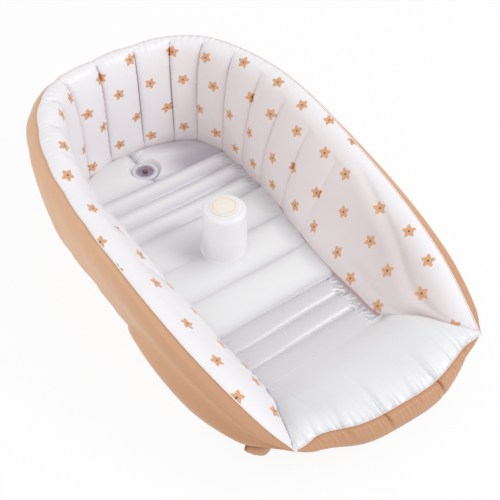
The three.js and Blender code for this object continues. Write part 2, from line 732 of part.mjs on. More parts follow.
const bead_lift = (bead_radius + fit_gap) * bead_lift_share;
const rim_sections = places_between(-end_place, end_place).map(section);
add_part('rim_weld', bead(
  rim_sections.map((s) => s.rim.clone().setZ(s.rim.z + bead_lift)),
  rim_sections.map((s) => s.normal),
), white_skin);
const seam_out = new THREE.Vector3(1, 0, 0);
add_part('foot_weld', bead(
  pad_front_edge.map((front) => seam_point(front.y).addScaledVector(seam_out, bead_lift / 2)
    .setZ(corner_rim_height + bead_lift)),
  pad_front_edge.map(() => seam_out),
), white_skin);

// White tips where the seams meet at the two low corners
const tip_shape = new THREE.Shape([
  new THREE.Vector2(0, -tip_end_width / 2),
  new THREE.Vector2(tip_length / 2, -tip_width / 2),
  new THREE.Vector2(tip_length, -tip_end_width / 2),
  new THREE.Vector2(tip_length, tip_end_width / 2),
  new THREE.Vector2(tip_length / 2, tip_width / 2),
  new THREE.Vector2(0, tip_end_width / 2),
]);
for (const [side, turn] of [['right', 1], ['left', -1]]) {
  const tip = new THREE.ExtrudeGeometry(tip_shape, { depth: tip_thickness, bevelEnabled: false })
    .translate(tip_clearance, 0, -tip_thickness / 2)
    .rotateZ(turn * Math.PI / 4)
    .translate(corner_point.x, turn * corner_point.y, corner_point.z);
  add_part(`corner_tip_${side}`, tip, white_skin);
}

// Air valves in the outer wall beside the head
const stem_radius = valve_stem_diameter / 2;
const valve_bore_radius = valve_bore_diameter / 2;
const flange_radius = valve_flange_diameter / 2;
const stem_top = valve_flange_thickness + valve_stem_height;
const knuckle_z = valve_flange_thickness + fit_gap + strap_knuckle_diameter / 2;

function valve_base_body() {
  return turned([
    [valve_bore_radius, -valve_stem_depth],
    [stem_radius, -valve_stem_depth],
    [stem_radius, 0],
    [flange_radius, 0],
    [flange_radius, valve_flange_thickness],
    [stem_radius, valve_flange_thickness],
    [stem_radius, stem_top],
    [valve_bore_radius, stem_top],
    [valve_bore_radius, -valve_stem_depth],
  ], small_round_steps);
}

// Stopper with its strap, about the knuckle that it swings on
function valve_stopper_body() {
  const cap_bottom = stem_top + fit_gap - knuckle_z;
  const plug_top_radius = valve_bore_radius - fit_gap;
  const cap_and_plug = turned([
    [0, cap_bottom - stopper_plug_depth],
    [plug_top_radius - stopper_plug_taper, cap_bottom - stopper_plug_depth],
    [plug_top_radius, cap_bottom],
    [stopper_cap_diameter / 2, cap_bottom],
    [stopper_cap_diameter / 2, cap_bottom + stopper_cap_thickness],
    [0, cap_bottom + stopper_cap_thickness],
  ], small_round_steps).translate(0, strap_reach, 0);
  const arm_z = cap_bottom + (stopper_cap_thickness - strap_thickness) / 2;
  const arm = new THREE.BoxGeometry(strap_width, strap_reach + strap_thickness / 2, strap_thickness)
    .translate(0, strap_reach / 2 - strap_thickness / 4, arm_z + strap_thickness / 2);
  const leg = new THREE.BoxGeometry(strap_width, strap_thickness, arm_z + strap_thickness)
    .translate(0, 0, (arm_z + strap_thickness) / 2);
  const knuckle = cylinder(strap_knuckle_diameter, -strap_width / 2, strap_width / 2, small_round_steps)
    .rotateY(Math.PI / 2);
  return join([cap_and_plug, arm, leg, knuckle]);
}

const flap_radius = valve_bore_radius + flap_overlap;
const valve_flap_body = () => cylinder(2 * flap_radius, -flap_thickness, 0, small_round_steps)
  .translate(0, -flap_radius, 0);

// Frame on the outer skin at a place and height: +Z points out and +Y up along the skin
function skin_frame(place, height) {
  const s = section(place);
  const skin = outer_points(s, outer_steps * outer_steps);
  const i = skin.findIndex((p) => p.z <= height);
  const up = skin[i - 1].clone().sub(skin[i + 1]).normalize();
  const side = new THREE.Vector3(s.normal.y, -s.normal.x, 0).negate();
  const out = new THREE.Vector3().crossVectors(side, up);
  return new THREE.Matrix4().makeBasis(side, up, out).setPosition(skin[i]);
}

const valve_seats = [];
for (const [name, station, height] of [
  ['wall_valve', wall_valve_station, wall_valve_height],
  ['floor_valve', floor_valve_station, floor_valve_height],
]) {
  const frame = skin_frame(place_of(station), height);
  const valve = new THREE.Group();
  const sunk = new THREE.Matrix4().makeTranslation(0, 0, fit_gap - valve_seat_depth);
  valve.applyMatrix4(frame.clone().multiply(sunk));
  tub.add(valve);
  valve_seats.push(
    cylinder(valve_flange_diameter + 2 * fit_gap, -valve_seat_depth, cut_overrun).applyMatrix4(frame),
    cylinder(valve_stem_diameter + 4 * fit_gap, -valve_pocket_depth, cut_overrun, small_round_steps)
      .applyMatrix4(frame),
  );
  add_part(`${name}_base`, valve_base_body(), clear_plastic, valve);
  const stopper = add_part(`${name}_stopper`, valve_stopper_body(), clear_plastic, valve);
  stopper.position.set(0, -strap_reach, knuckle_z);
  const flap = add_part(`${name}_flap`, valve_flap_body(), clear_plastic, valve);
  flap.position.set(0, flap_radius, -valve_stem_depth - fit_gap);
}
const valve_wall = tub.getObjectByName('outer_wall_head_right');
valve_wall.geometry = cut(valve_wall.geometry, valve_seats);

export default tub;
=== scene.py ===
"""Looks of an inflatable baby bathtub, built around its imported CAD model.

Lengths in the tables are millimetres, and every mesh is made in metres. A place is a position along the
wall: 0 in the middle of the head, positive on the right side, with a weld at every half.
"""

import math

import bmesh
import bpy
import numpy as np
from mathutils import Matrix, Vector


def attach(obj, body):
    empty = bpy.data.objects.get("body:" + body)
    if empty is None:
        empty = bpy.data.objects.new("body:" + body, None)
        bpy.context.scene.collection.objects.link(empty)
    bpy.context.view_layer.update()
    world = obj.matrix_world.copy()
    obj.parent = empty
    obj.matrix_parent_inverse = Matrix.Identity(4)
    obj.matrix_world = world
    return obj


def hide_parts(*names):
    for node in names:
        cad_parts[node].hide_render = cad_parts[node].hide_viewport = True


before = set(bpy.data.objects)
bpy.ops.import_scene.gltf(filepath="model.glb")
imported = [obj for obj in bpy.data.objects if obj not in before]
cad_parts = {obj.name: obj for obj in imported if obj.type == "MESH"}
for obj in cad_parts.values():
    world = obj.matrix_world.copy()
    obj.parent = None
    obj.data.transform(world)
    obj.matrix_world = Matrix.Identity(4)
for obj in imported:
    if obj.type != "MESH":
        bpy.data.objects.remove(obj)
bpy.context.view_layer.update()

bl_info = {
    "name": "Inflatable bathtub",
    "version": (1, 0, 0),
    "blender": (4, 5, 0),
    "location": "3D View > Sidebar > Bathtub",
    "description": "Builds the skins, floor mat, pillar, drain and valves of an inflatable bathtub",
    "category": "Add Mesh",
}

MM = 0.001
UV_UNIT = 100
BODY = "tub"

# Rim and floor stations, the same as the part's
TUB_LENGTH = 863
RIM_HALF_WIDTH = 250
HEAD_RIM_HEIGHT = 278
CORNER_RIM_HEIGHT = 99
MAT_HEIGHT = 50
FIT_GAP = 0.3
HEAD_SWELL = 20
FOOT_SWELL = 17
FOOT_BOW = 31
FLOOR_HALF_WIDTH = 162
FLOOR_HEAD_INSET = 26
PAD_START_INSET = 140
PAD_START_HALF_WIDTH = 125
RIM_CURL_WIDTH = 48
RIM_CURL_HEIGHT = 10
FULL_CURL_HEIGHT = 90
INNER_LEAN = 6
WELD_DEPTH = 14
OUTER_SWELL = 20
SHEET_TOP = 3.3
RIM_X = [0.006, 0.024, 0.078, 0.151, 0.241, 0.334, 0.426, 0.521, 0.643, 0.769, 0.888, 0.951, 1]
RIM_Y = [0.168, 0.488, 0.716, 0.852, 0.948, 0.988, 1, 0.994, 0.976, 0.936, 0.868, 0.814, 0.756]
RIM_Z = [0.998, 0.989, 0.978, 0.939, 0.883, 0.816, 0.721, 0.62, 0.486, 0.33, 0.168, 0.067, 0]
FLOOR_X = [0.002, 0.03, 0.068, 0.158, 0.262, 0.368, 0.501, 0.631, 0.765, 0.89]
FLOOR_Y = [0.235, 0.605, 0.84, 0.988, 1, 0.966, 0.908, 0.846, 0.79, 0.768]
OUTER_SHARES = [
    [0, 0, 0, 0, 0, 0, 0, 0, 0, 0, 0, 0, 0],
    [0.6, 0.65, 0.7, 0.65, 0.55, 0.5, 0.5, 0.6, 0.7, 0.75, 0.7, 0.5, 0.1],
    [1.2, 1.35, 1.4, 1.25, 1.05, 0.95, 0.9, 0.95, 1.05, 1.1, 1, 0.7, 0.15],
    [0.9, 1, 1, 0.85, 0.75, 0.65, 0.4, 0.2, 0.15, 0.15, 0.2, 0.2, 0.1],
    [0.4, 0.45, 0.4, 0.15, -0.15, -0.45, -0.45, -0.1, 0.45, 0.7, 0.6, 0.35, 0.1],
    [-0.1, -0.15, -0.4, -0.55, -0.9, -1.1, -1.1, -0.75, -0.1, 0.2, 0.1, 0, 0],
    [-0.6, -0.7, -1, -1.2, -1.3, -1.4, -1.4, -1.3, -1, -0.7, -0.5, -0.2, 0],
]
OUTER_HEIGHTS = [1, 0.965, 0.84, 0.5, 0.27, 0.07, 0]
WELD_DEPTHS = [1, 1, 1, 0.9, 0.75, 0.65, 0.6, 0.5, 0, 0, 0, 0, 0]
WELD_TOPS = [0.96, 0.96, 0.94, 0.9, 0.82, 0.76, 0.72, 0.7, 0.7, 0.7, 0.7, 0.7, 0.7]
UNDERSIDES = [0, 0, 0, 0, 0, 0, 0, 0, 0, 0.03, 0.28, 0.7, 0.97]
LEANS = [1, 1, 1, 1, 1, 1, 0.3, -1.8, -3.6, -4, -2.2, -0.3, 1]
CURLS = [1, 1, 1, 1, 1, 1, 1, 0.85, 0.7, 0.6, 0.75, 0.9, 1]
CORNER_STATION = 12
PAD_PLACE = 10.5
LAST_WELD = 7.5
END_PLACE = CORNER_STATION + 0.5 - 0.03

HEAD_RIM_X = -TUB_LENGTH / 2 + HEAD_SWELL
FOOT_SEAM_X = TUB_LENGTH / 2 - FOOT_SWELL
CORNER_X = FOOT_SEAM_X - FOOT_BOW
FLOOR_HEAD_X = HEAD_RIM_X + FLOOR_HEAD_INSET
PAD_START_X = CORNER_X - PAD_START_INSET
FLOOR_RUN = PAD_START_X - FLOOR_HEAD_X
CORNER_Y = RIM_HALF_WIDTH * RIM_Y[-1]
PILLAR_X = HEAD_RIM_X + 362
PILLAR_TOP = 147
DRAIN_X = HEAD_RIM_X + 86
DRAIN_TOP = 44.3

# The rim's puffs at the left of the head, and the skew with which the soft tub stands
RIM_PUFF_OUT, RIM_PUFF_UP = 1.8, 1.4
FLOOR_SHIFT = -9.5
LEFT_PULL, LEFT_PULL_Y = -13.5, -142
MIDDLE_PUSH, MIDDLE_PUSH_Y = 5.5, 55
RIGHT_PUSH, RIGHT_DRAW, RIGHT_DROP = 10, -6, -3


# Small formulas


def smooth(x, start, end):
    """Runs from 0 to 1, with soft ends, while x runs from start to end."""
    f = np.clip((x - start) / (end - start), 0, 1)
    return f * f * (3 - 2 * f)


def bell(x, width):
    """1 where x is 0, and fading to both sides over a width."""
    return np.exp(-((x / width) ** 2))


def fade(x, length):
    """1 where x is 0, and fading as x grows."""
    return np.exp(-x / length)


def ripple(x, pitch, seed):
    """An uneven wave between -1 and 1 that repeats about every pitch."""
    x = np.asarray(x, float) * (2 * math.pi / pitch)
    return (
        np.sin(x + 1.7 * seed)
        + 0.6 * np.sin(1.71 * x + 0.9 + 2.3 * seed)
        + 0.4 * np.sin(0.43 * x + 2.1 * seed)
    ) / 2


def gathers(along, away, depth, pitch, seed, reach):
    """Small folds across a seam: uneven waves along it, fading away from it within a reach."""
    return depth * ripple(along, pitch, seed) * fade(away, reach)


def run_length(points):
    """Distance along a row of points from its first one."""
    steps = np.linalg.norm(np.diff(points, axis=-2), axis=-1)
    zero = np.zeros(steps.shape[:-1] + (1,))
    return np.concatenate([zero, np.cumsum(steps, axis=-1)], axis=-1)


def spread(start, end, pitch, fine_near=()):
    """Places from start to end, closer together near the places in fine_near."""
    places = list(np.linspace(start, end, max(2, int(round((end - start) / pitch)) + 1)))
    for centre, reach, step in fine_near:
        near = np.arange(centre - reach, centre + reach, step)
        places = [p for p in places if p < near[0] - 0.6 * step or p > near[-1] + 0.6 * step] + list(near)
    return np.array(sorted(places))


# Curves through the stations


def cubic(start, end, leaving, arriving, f):
    """A share f of the way from start to end, on the cubic with these slopes at its ends."""
    bend = leaving + arriving + 2 * start - 2 * end
    return start + leaving * f + (end - start - leaving - bend) * f**2 + bend * f**3


def centripetal(points, t):
    """Points on a centripetal Catmull-Rom curve at every t from 0 to 1."""
    points = np.asarray(points, float)
    last = len(points) - 1
    padded = np.vstack([2 * points[0] - points[1], points, 2 * points[-1] - points[-2]])
    at = np.clip(np.asarray(t, float), 0, 1) * last
    i = np.minimum(at.astype(int), last - 1)
    f = (at - i)[:, None]
    p0, p1, p2, p3 = (padded[i + k] for k in range(4))
    d0, d1, d2 = (
        np.maximum(((b - a) ** 2).sum(1) ** 0.25, 1e-4)[:, None]
        for a, b in ((p0, p1), (p1, p2), (p2, p3))
    )
    s1 = ((p1 - p0) / d0 - (p2 - p0) / (d0 + d1) + (p2 - p1) / d1) * d1
    s2 = ((p2 - p1) / d1 - (p3 - p1) / (d1 + d2) + (p3 - p2) / d2) * d1
    return cubic(p1, p2, s1, s2, f)


def read_between(rows, at):
    """Rows read at positions counted in rows, on uniform Catmull-Rom curves between them."""
    rows = np.asarray(rows, float)
    i = np.minimum(at.astype(int), len(rows) - 2)
    f = (at - i).reshape(at.shape + (1,) * (rows.ndim - 1))
    p0, p1, p2, p3 = (rows[np.clip(i + k, 0, len(rows) - 1)] for k in (-1, 0, 1, 2))
    return cubic(p1, p2, (p2 - p0) / 2, (p3 - p1) / 2, f)


def profiles(outs, ups, t):
    """Smooth (out, up) profiles of a row of sections, from knots that each hold a value for every section."""
    knots = np.stack([np.array(outs), np.array(ups)], axis=2)
    at = np.asarray(t, float) * (len(knots) - 1)
    return read_between(knots, at).swapaxes(0, 1)


def share_at(shares, place):
    """A share table read at places along the wall, alike on both sides."""
    return read_between(shares, np.clip(np.abs(np.asarray(place, float)) - 0.5, 0, len(shares) - 1))


def lowest_at(place):
    return CORNER_RIM_HEIGHT * np.maximum(share_at(UNDERSIDES, place), 0)


def mirrored(points):
    return np.vstack([points[::-1] * [1, -1, 1], points])


RIM_POINTS = np.column_stack([
    HEAD_RIM_X + (CORNER_X - HEAD_RIM_X) * np.array(RIM_X),
    RIM_HALF_WIDTH * np.array(RIM_Y),
    CORNER_RIM_HEIGHT + (HEAD_RIM_HEIGHT - CORNER_RIM_HEIGHT) * np.array(RIM_Z),
])
PAD_CORNER = np.array([PAD_START_X, PAD_START_HALF_WIDTH, MAT_HEIGHT])
FLOOR_POINTS = np.vstack([
    np.column_stack([
        FLOOR_HEAD_X + FLOOR_RUN * np.array(FLOOR_X),
        FLOOR_HALF_WIDTH * np.array(FLOOR_Y),
        np.full(len(FLOOR_X), MAT_HEIGHT),
    ]),
    PAD_CORNER,
    (PAD_CORNER + RIM_POINTS[-1]) / 2,
    RIM_POINTS[-1],
])
RIM_CURVE, FLOOR_CURVE = mirrored(RIM_POINTS), mirrored(FLOOR_POINTS)


class Sections:
    """Upright cross-sections of the wall at a row of places.

    The rim is puffed up between the welds at the left of the head.
    """

    def __init__(self, places):
        self.place = np.atleast_1d(np.asarray(places, float))
        t = (self.place + CORNER_STATION + 0.5) / (2 * CORNER_STATION + 1)
        self.rim = centripetal(RIM_CURVE, t)
        self.foot = centripetal(FLOOR_CURVE, t)
        along = centripetal(RIM_CURVE, t + 1e-4) - centripetal(RIM_CURVE, t - 1e-4)
        normal = np.column_stack([-along[:, 1], along[:, 0], np.zeros(len(t))])
        self.normal = normal / np.linalg.norm(normal, axis=1)[:, None]
        puffed = np.abs(np.sin(math.pi * (self.place - 0.5))) - 0.5
        puffed *= smooth(self.place, 1.6, 0.9) * smooth(self.place, -8, -6.8)
        self.rim = self.rim + puffed[:, None] * (RIM_PUFF_OUT * self.normal + [0, 0, RIM_PUFF_UP])
        out = (self.rim - self.foot) * [1, 1, 0]
        self.reach = np.linalg.norm(out, axis=1)
        self.out = out / self.reach[:, None]


def inner_skin(s, weld, heights, dent=0):
    """Inner skin from the floor's edge to the rim, pulled in by weld and by dent in millimetres."""
    t = np.asarray(heights, float)[None, :]
    rise = (s.rim[:, 2] - s.foot[:, 2])[:, None]
    full = np.minimum(1, rise / FULL_CURL_HEIGHT)
    reach = s.reach[:, None]
    x1 = -INNER_LEAN * full * share_at(LEANS, s.place)[:, None]
    x2 = reach - RIM_CURL_WIDTH * full * share_at(CURLS, s.place)[:, None]
    z1, z2 = rise * 0.42, rise + RIM_CURL_HEIGHT * full
    b1, b2, b3 = 3 * t * (1 - t) ** 2, 3 * t**2 * (1 - t), t**3
    x = x1 * b1 + x2 * b2 + reach * b3
    z = z1 * b1 + z2 * b2 + rise * b3
    d1, d2, d3 = 3 * (1 - t) ** 2, 6 * t * (1 - t), 3 * t**2
    dx = x1 * d1 + (x2 - x1) * d2 + (reach - x2) * d3
    dz = z1 * d1 + (z2 - z1) * d2 + (rise - z2) * d3
    length = np.hypot(dx, dz)
    top = share_at(WELD_TOPS, s.place)[:, None]
    bow = np.sin(np.pi * (0.03 + 0.97 * np.minimum(t / top, 1)))
    pull = WELD_DEPTH * share_at(WELD_DEPTHS, s.place)[:, None] * np.reshape(weld, (-1, 1))
    depth = np.where(t < top, pull * np.maximum(bow, 0) ** 0.5, 0) + dent
    points = s.foot[:, None, :] + s.out[:, None, :] * (x + dz / length * depth)[..., None]
    points[..., 2] += z - dx / length * depth
    return points


def outer_skin(s, heights, dent=0):
    """Outer skin from the rim down to its lowest edge, pulled in by dent in millimetres."""
    lowest = lowest_at(s.place)
    tall = s.rim[:, 2] - lowest
    outs = [OUTER_SWELL * share_at(shares, s.place) for shares in OUTER_SHARES]
    profile = profiles(outs, [tall * share for share in OUTER_HEIGHTS], heights)
    points = np.repeat(s.rim[:, None, :], len(heights), axis=1)
    points[..., 2] = lowest[:, None] + profile[..., 1]
    return points + s.normal[:, None, :] * (profile[..., 0] - dent)[..., None]


def back_skin(s, lift, steps=8):
    """Where the inner and outer air spaces are parted, from just under the rim down to the sheet."""
    t = np.linspace(0, 1, steps + 1)
    inner = inner_skin(s, 0, t)[:, ::-1]
    outer = outer_skin(s, t)
    back = (inner + outer) / 2
    back[:, -1] = (s.foot + outer[:, -1]) / 2
    back[:, -1, 2] = outer[:, -1, 2] + lift
    return back[:, 1:]


def settled(points):
    """Points of the soft tub, moved by the small skew with which it stands when blown up.

    The floor and the wall's foot lie further to the left. The low end is pulled in near its left corner and
    pushed out in the middle and at its right corner, which also lies further to the left and lower.
    """
    points = np.array(points, float)
    x, y, z = points[..., 0], points[..., 1], points[..., 2]
    side = np.abs(y)
    floor_run = smooth(x, -130, 60) * smooth(x, 300, 262)
    wall_foot = smooth(side, 45, 115) * smooth(side, 215, 185) * smooth(z, 125, 60)
    low_end = smooth(x, 255, 335)
    right_corner = smooth(y, 95, 186) * low_end
    left_pull = LEFT_PULL * bell(y - LEFT_PULL_Y, np.where(y < LEFT_PULL_Y, 28, 45))
    middle_push = MIDDLE_PUSH * bell(y - MIDDLE_PUSH_Y, 55)
    points[..., 0] += (left_pull + middle_push + RIGHT_PUSH * smooth(y, 140, 192)) * low_end
    points[..., 1] += FLOOR_SHIFT * floor_run * wall_foot + RIGHT_DRAW * right_corner
    points[..., 2] += RIGHT_DROP * right_corner * smooth(z, 15, 80)
    return points


# Meshes


def ring_faces(rings, size, closed_rows=False):
    """Faces through rings of points, with a cap at each end unless the rows close on themselves."""
    faces = []
    for r in range(rings if closed_rows else rings - 1):
        a, b = r * size, (r + 1) % rings * size
        faces += [(a + i, a + (i + 1) % size, b + (i + 1) % size, b + i) for i in range(size)]
    if not closed_rows:
        faces += [tuple(range(size))[::-1], tuple((rings - 1) * size + i for i in range(size))]
    return faces


def merged(shells):
    """Several closed shells as one list of points and faces."""
    points, faces, first = [], [], 0
    for shell_points, shell_faces in shells:
        points.append(shell_points)
        faces += [tuple(first + i for i in face) for face in shell_faces]
        first += len(shell_points)
    return np.vstack(points), faces


def closed_mesh(name, points, faces):
    """A mesh whose faces all look outward. Its points are in millimetres."""
    mesh = bpy.data.meshes.new(name)
    mesh.from_pydata((points * MM).tolist(), [], faces)
    bm = bmesh.new()
    bm.from_mesh(mesh)
    bmesh.ops.recalc_face_normals(bm, faces=bm.faces)
    bm.to_mesh(mesh)
    bm.free()
    return mesh


def added(name, data):
    made = bpy.data.objects.new(name, data)
    bpy.context.scene.collection.objects.link(made)
    return made


def make_piece(
    name, shell, make, nodes, slot, body=BODY, uv=None, marks=None, fill=None, sharp=50, soft=False
):
    """A smooth closed piece on a body, in place of CAD nodes, with the material that make makes.

    Its shell is either points and faces or rings of points, in millimetres.
    """
    points, faces = shell if isinstance(shell, tuple) else (shell, ring_faces(*shell.shape[:2]))
    points = (settled if soft else np.asarray)(points.reshape(-1, 3))
    mesh = closed_mesh(name, points, faces)
    mesh.shade_smooth()
    mesh.set_sharp_from_angle(angle=math.radians(sharp))
    for mark, values in (marks or {}).items():
        layer = mesh.attributes.new(mark, "FLOAT", "POINT")
        layer.data.foreach_set("value", np.asarray(values, np.float32).ravel())
    if uv is not None:
        corner = np.zeros(len(mesh.loops), np.int32)
        mesh.loops.foreach_get("vertex_index", corner)
        layer = mesh.uv_layers.new(name="UVMap")
        layer.data.foreach_set("uv", uv.astype(np.float32).reshape(-1, 2)[corner].ravel())
    mesh.materials.append(finish_of(make))
    piece = added(name, mesh)
    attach(piece, body)
    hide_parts(*nodes)
    return piece


def carve(piece, cutters):
    """Cuts closed shells, given in millimetres, out of a piece."""
    helpers = []
    for points, faces in cutters:
        helper = added("cutter", closed_mesh("cutter", points, faces))
        helper.data.materials.append(piece.data.materials[0])
        helpers.append(helper)
        cut = piece.modifiers.new("cut", "BOOLEAN")
        cut.operation = "DIFFERENCE"
        cut.solver = "EXACT"
        cut.object = helper
    bpy.context.view_layer.update()
    seen = piece.evaluated_get(bpy.context.evaluated_depsgraph_get())
    mesh = bpy.data.meshes.new_from_object(seen)
    if len(mesh.vertices) < 8:
        raise RuntimeError(f"{piece.name} was lost when its holes were cut")
    piece.modifiers.clear()
    piece.data = mesh
    mesh.set_sharp_from_angle(angle=math.radians(40))
    for helper in helpers:
        bpy.data.objects.remove(helper)


def rounded(profile, radius, steps=4):
    """A closed outline with its corners rounded, as far as its edges leave room."""
    profile = np.asarray(profile, float)
    points = []
    for before, corner, after in zip(np.roll(profile, 1, 0), profile, np.roll(profile, -1, 0)):
        to_before, to_after = before - corner, after - corner
        reach = min(radius, 0.45 * np.linalg.norm(to_before), 0.45 * np.linalg.norm(to_after))
        a = corner + to_before / np.linalg.norm(to_before) * reach
        b = corner + to_after / np.linalg.norm(to_after) * reach
        for f in np.linspace(0, 1, steps + 1):
            points.append((1 - f) ** 2 * a + 2 * f * (1 - f) * corner + f**2 * b)
    return np.array(points)


def ring_turned(outline, steps=72):
    """A ring with a closed (radius, height) outline, turned about Z."""
    angles = np.linspace(0, 2 * math.pi, steps, endpoint=False)
    points = [(r * math.cos(a), r * math.sin(a), z) for a in angles for r, z in outline]
    return np.array(points), ring_faces(steps, len(outline), closed_rows=True)


def solid_turned(profile, steps=72):
    """A round solid whose (radius, height) profile runs from one pole to the other."""
    first, middle, last = profile[0], profile[1:-1], profile[-1]
    size = len(middle)
    points = list(ring_turned(middle, steps)[0])
    faces = []
    for k in range(steps):
        a, b = k * size, (k + 1) % steps * size
        faces += [(a + i, b + i, b + i + 1, a + i + 1) for i in range(size - 1)]
        faces.append((len(points), b, a))
        faces.append((a + size - 1, b + size - 1, len(points) + 1))
    points += [(0, 0, first[1]), (0, 0, last[1])]
    return np.array(points), faces


def moved(shell, x=0, y=0, z=0):
    points, faces = shell
    return points + [x, y, z], faces


def placed(shell, matrix):
    points, faces = shell
    points = np.column_stack([points, np.ones(len(points))])
    return (points @ np.array(matrix).T)[:, :3], faces


# Materials


def linear(colour):
    """A colour written as red, green and blue from 0 to 255, as Blender's linear values."""
    shares = [v / 255 for v in colour]
    return tuple(c / 12.92 if c <= 0.04045 else ((c + 0.055) / 1.055) ** 2.4 for c in shares) + (1,)


class Nodes:
    """The node tree of a material or a world, and the short ways in which its nodes are made."""

    def __init__(self, owner):
        owner.use_nodes = True
        self.tree = owner.node_tree

    def first(self, kind):
        return next(n for n in self.tree.nodes if n.type == kind)

    def set(self, node, **values):
        for socket, value in values.items():
            self.plug(node.inputs[socket], value)

    def plug(self, socket, value):
        if isinstance(value, bpy.types.NodeSocket):
            self.tree.links.new(value, socket)
        else:
            socket.default_value = value

    def node(self, kind, *values, **options):
        """A new node with its options set and its first inputs plugged."""
        made = self.tree.nodes.new(kind)
        for option, value in options.items():
            setattr(made, option, value)
        for socket, value in zip(made.inputs, values):
            self.plug(socket, value)
        return made

    def math(self, operation, *values, clamp=False):
        return self.node("ShaderNodeMath", *values, operation=operation, use_clamp=clamp).outputs[0]

    def times(self, a, b):
        return self.math("MULTIPLY", a, b)

    def minus(self, a, b):
        return self.math("SUBTRACT", a, b)

    def radius(self, x, y):
        return self.math("SQRT", self.math("ADD", self.times(x, x), self.times(y, y)))

    def step(self, value, start, end, low=0.0, high=1.0):
        """Runs smoothly from low to high while the value runs from start to end."""
        values = (value, start, end, low, high)
        return self.node("ShaderNodeMapRange", *values, interpolation_type="SMOOTHSTEP").outputs[0]

    def mix(self, amount, a, b, **options):
        """Two colours mixed, each one a socket, linear values or red, green and blue up to 255."""
        made = self.node("ShaderNodeMix", amount, data_type="RGBA", **options)
        for socket, colour in ((made.inputs[6], a), (made.inputs[7], b)):
            self.plug(socket, linear(colour) if isinstance(colour, tuple) and len(colour) == 3 else colour)
        return made.outputs[2]


class Finish(Nodes):
    """A procedural material."""

    def __init__(self, name, roughness, coat=0.0, coat_roughness=0.2):
        self.material = bpy.data.materials.new(name)
        super().__init__(self.material)
        self.shader = self.first("BSDF_PRINCIPLED")
        self.look(Roughness=roughness, Coat_Weight=coat, Coat_Roughness=coat_roughness, IOR=1.5)

    def look(self, **values):
        """Sets the shader's own sockets, named with _ for a space."""
        self.set(self.shader, **{socket.replace("_", " "): value for socket, value in values.items()})

    def noise(self, scale, detail=2.0, distortion=0.0):
        made = self.node("ShaderNodeTexNoise")
        self.set(made, Vector=self.place(), Scale=scale, Detail=detail, Distortion=distortion)
        return made.outputs["Fac"]

    def place(self):
        return self.node("ShaderNodeTexCoord").outputs["Object"]

    def split(self, vector):
        return self.node("ShaderNodeSeparateXYZ", vector).outputs

    def mark(self, name):
        return self.node("ShaderNodeAttribute", attribute_name=name).outputs["Fac"]

    def bump(self, height, distance, strength, **below):
        made = self.node("ShaderNodeBump")
        self.set(made, Strength=strength, Distance=distance, Height=height, **below)
        return made.outputs["Normal"]

    def vinyl(self, colour, film=0.35, mottle=0.5):
        """Soft sheet: a faint cloudiness, a fine film grain and slow waves in its gloss."""
        cloud = self.times(self.noise(14), mottle)
        slow = self.bump(self.noise(45, distortion=0.6), 0.0012, film)
        self.look(
            Base_Color=self.mix(cloud, colour, (0.93, 0.92, 0.93, 1), blend_type="MULTIPLY"),
            Normal=self.bump(self.noise(900), 0.00012, 0.25, Normal=slow),
        )
        return self.material

    def plastic(self, colour, transmission, grain, depth):
        """Hard plastic, uneven by a grain of noise as deep as depth in metres."""
        self.look(Base_Color=colour, Transmission_Weight=transmission)
        self.look(Normal=self.bump(self.noise(grain), depth, 0.3))
        return self.material


def tan_vinyl():
    """Outer sheet: painted shade at the low end and under its seam, painted highlights on folds, darker at a
    folded edge.
    """
    finish = Finish("tan_vinyl", 0.46, 0.06, 0.3)
    finish.look(Specular_IOR_Level=0.35)
    # Painted shade: the tan darkens toward the low end.
    low_end_shade = finish.step(finish.split(finish.place())[0], -0.2, 0.42)
    ground = finish.mix(low_end_shade, (240, 194, 156), (206, 157, 121))
    # Painted highlight: paler where the crease mark lies along the long fold and on the ridges of the
    # gathers.
    pale = finish.mix(finish.mark("crease"), ground, (232, 188, 150))
    # Painted shade just below the seam.
    seam_shade = finish.step(finish.mark("seam_distance"), 0.0, 8.0, 0.3, 0.0)
    shade = finish.mix(seam_shade, pale, (196, 144, 106))
    shade = finish.mix(finish.mark("fold_edge"), shade, (178, 104, 74))
    finish.material.diffuse_color = tuple(bpy.context.scene.bathtub_looks.tan)
    return finish.vinyl(shade, film=0.3, mottle=0.6)


# The print's rows: their distance as a share of the pitch, their shift and how far a blossom wanders
ROW_SHARE, ROW_SHIFT, WANDER = 0.84, 0.44, 0.34
PETALS = 5.0


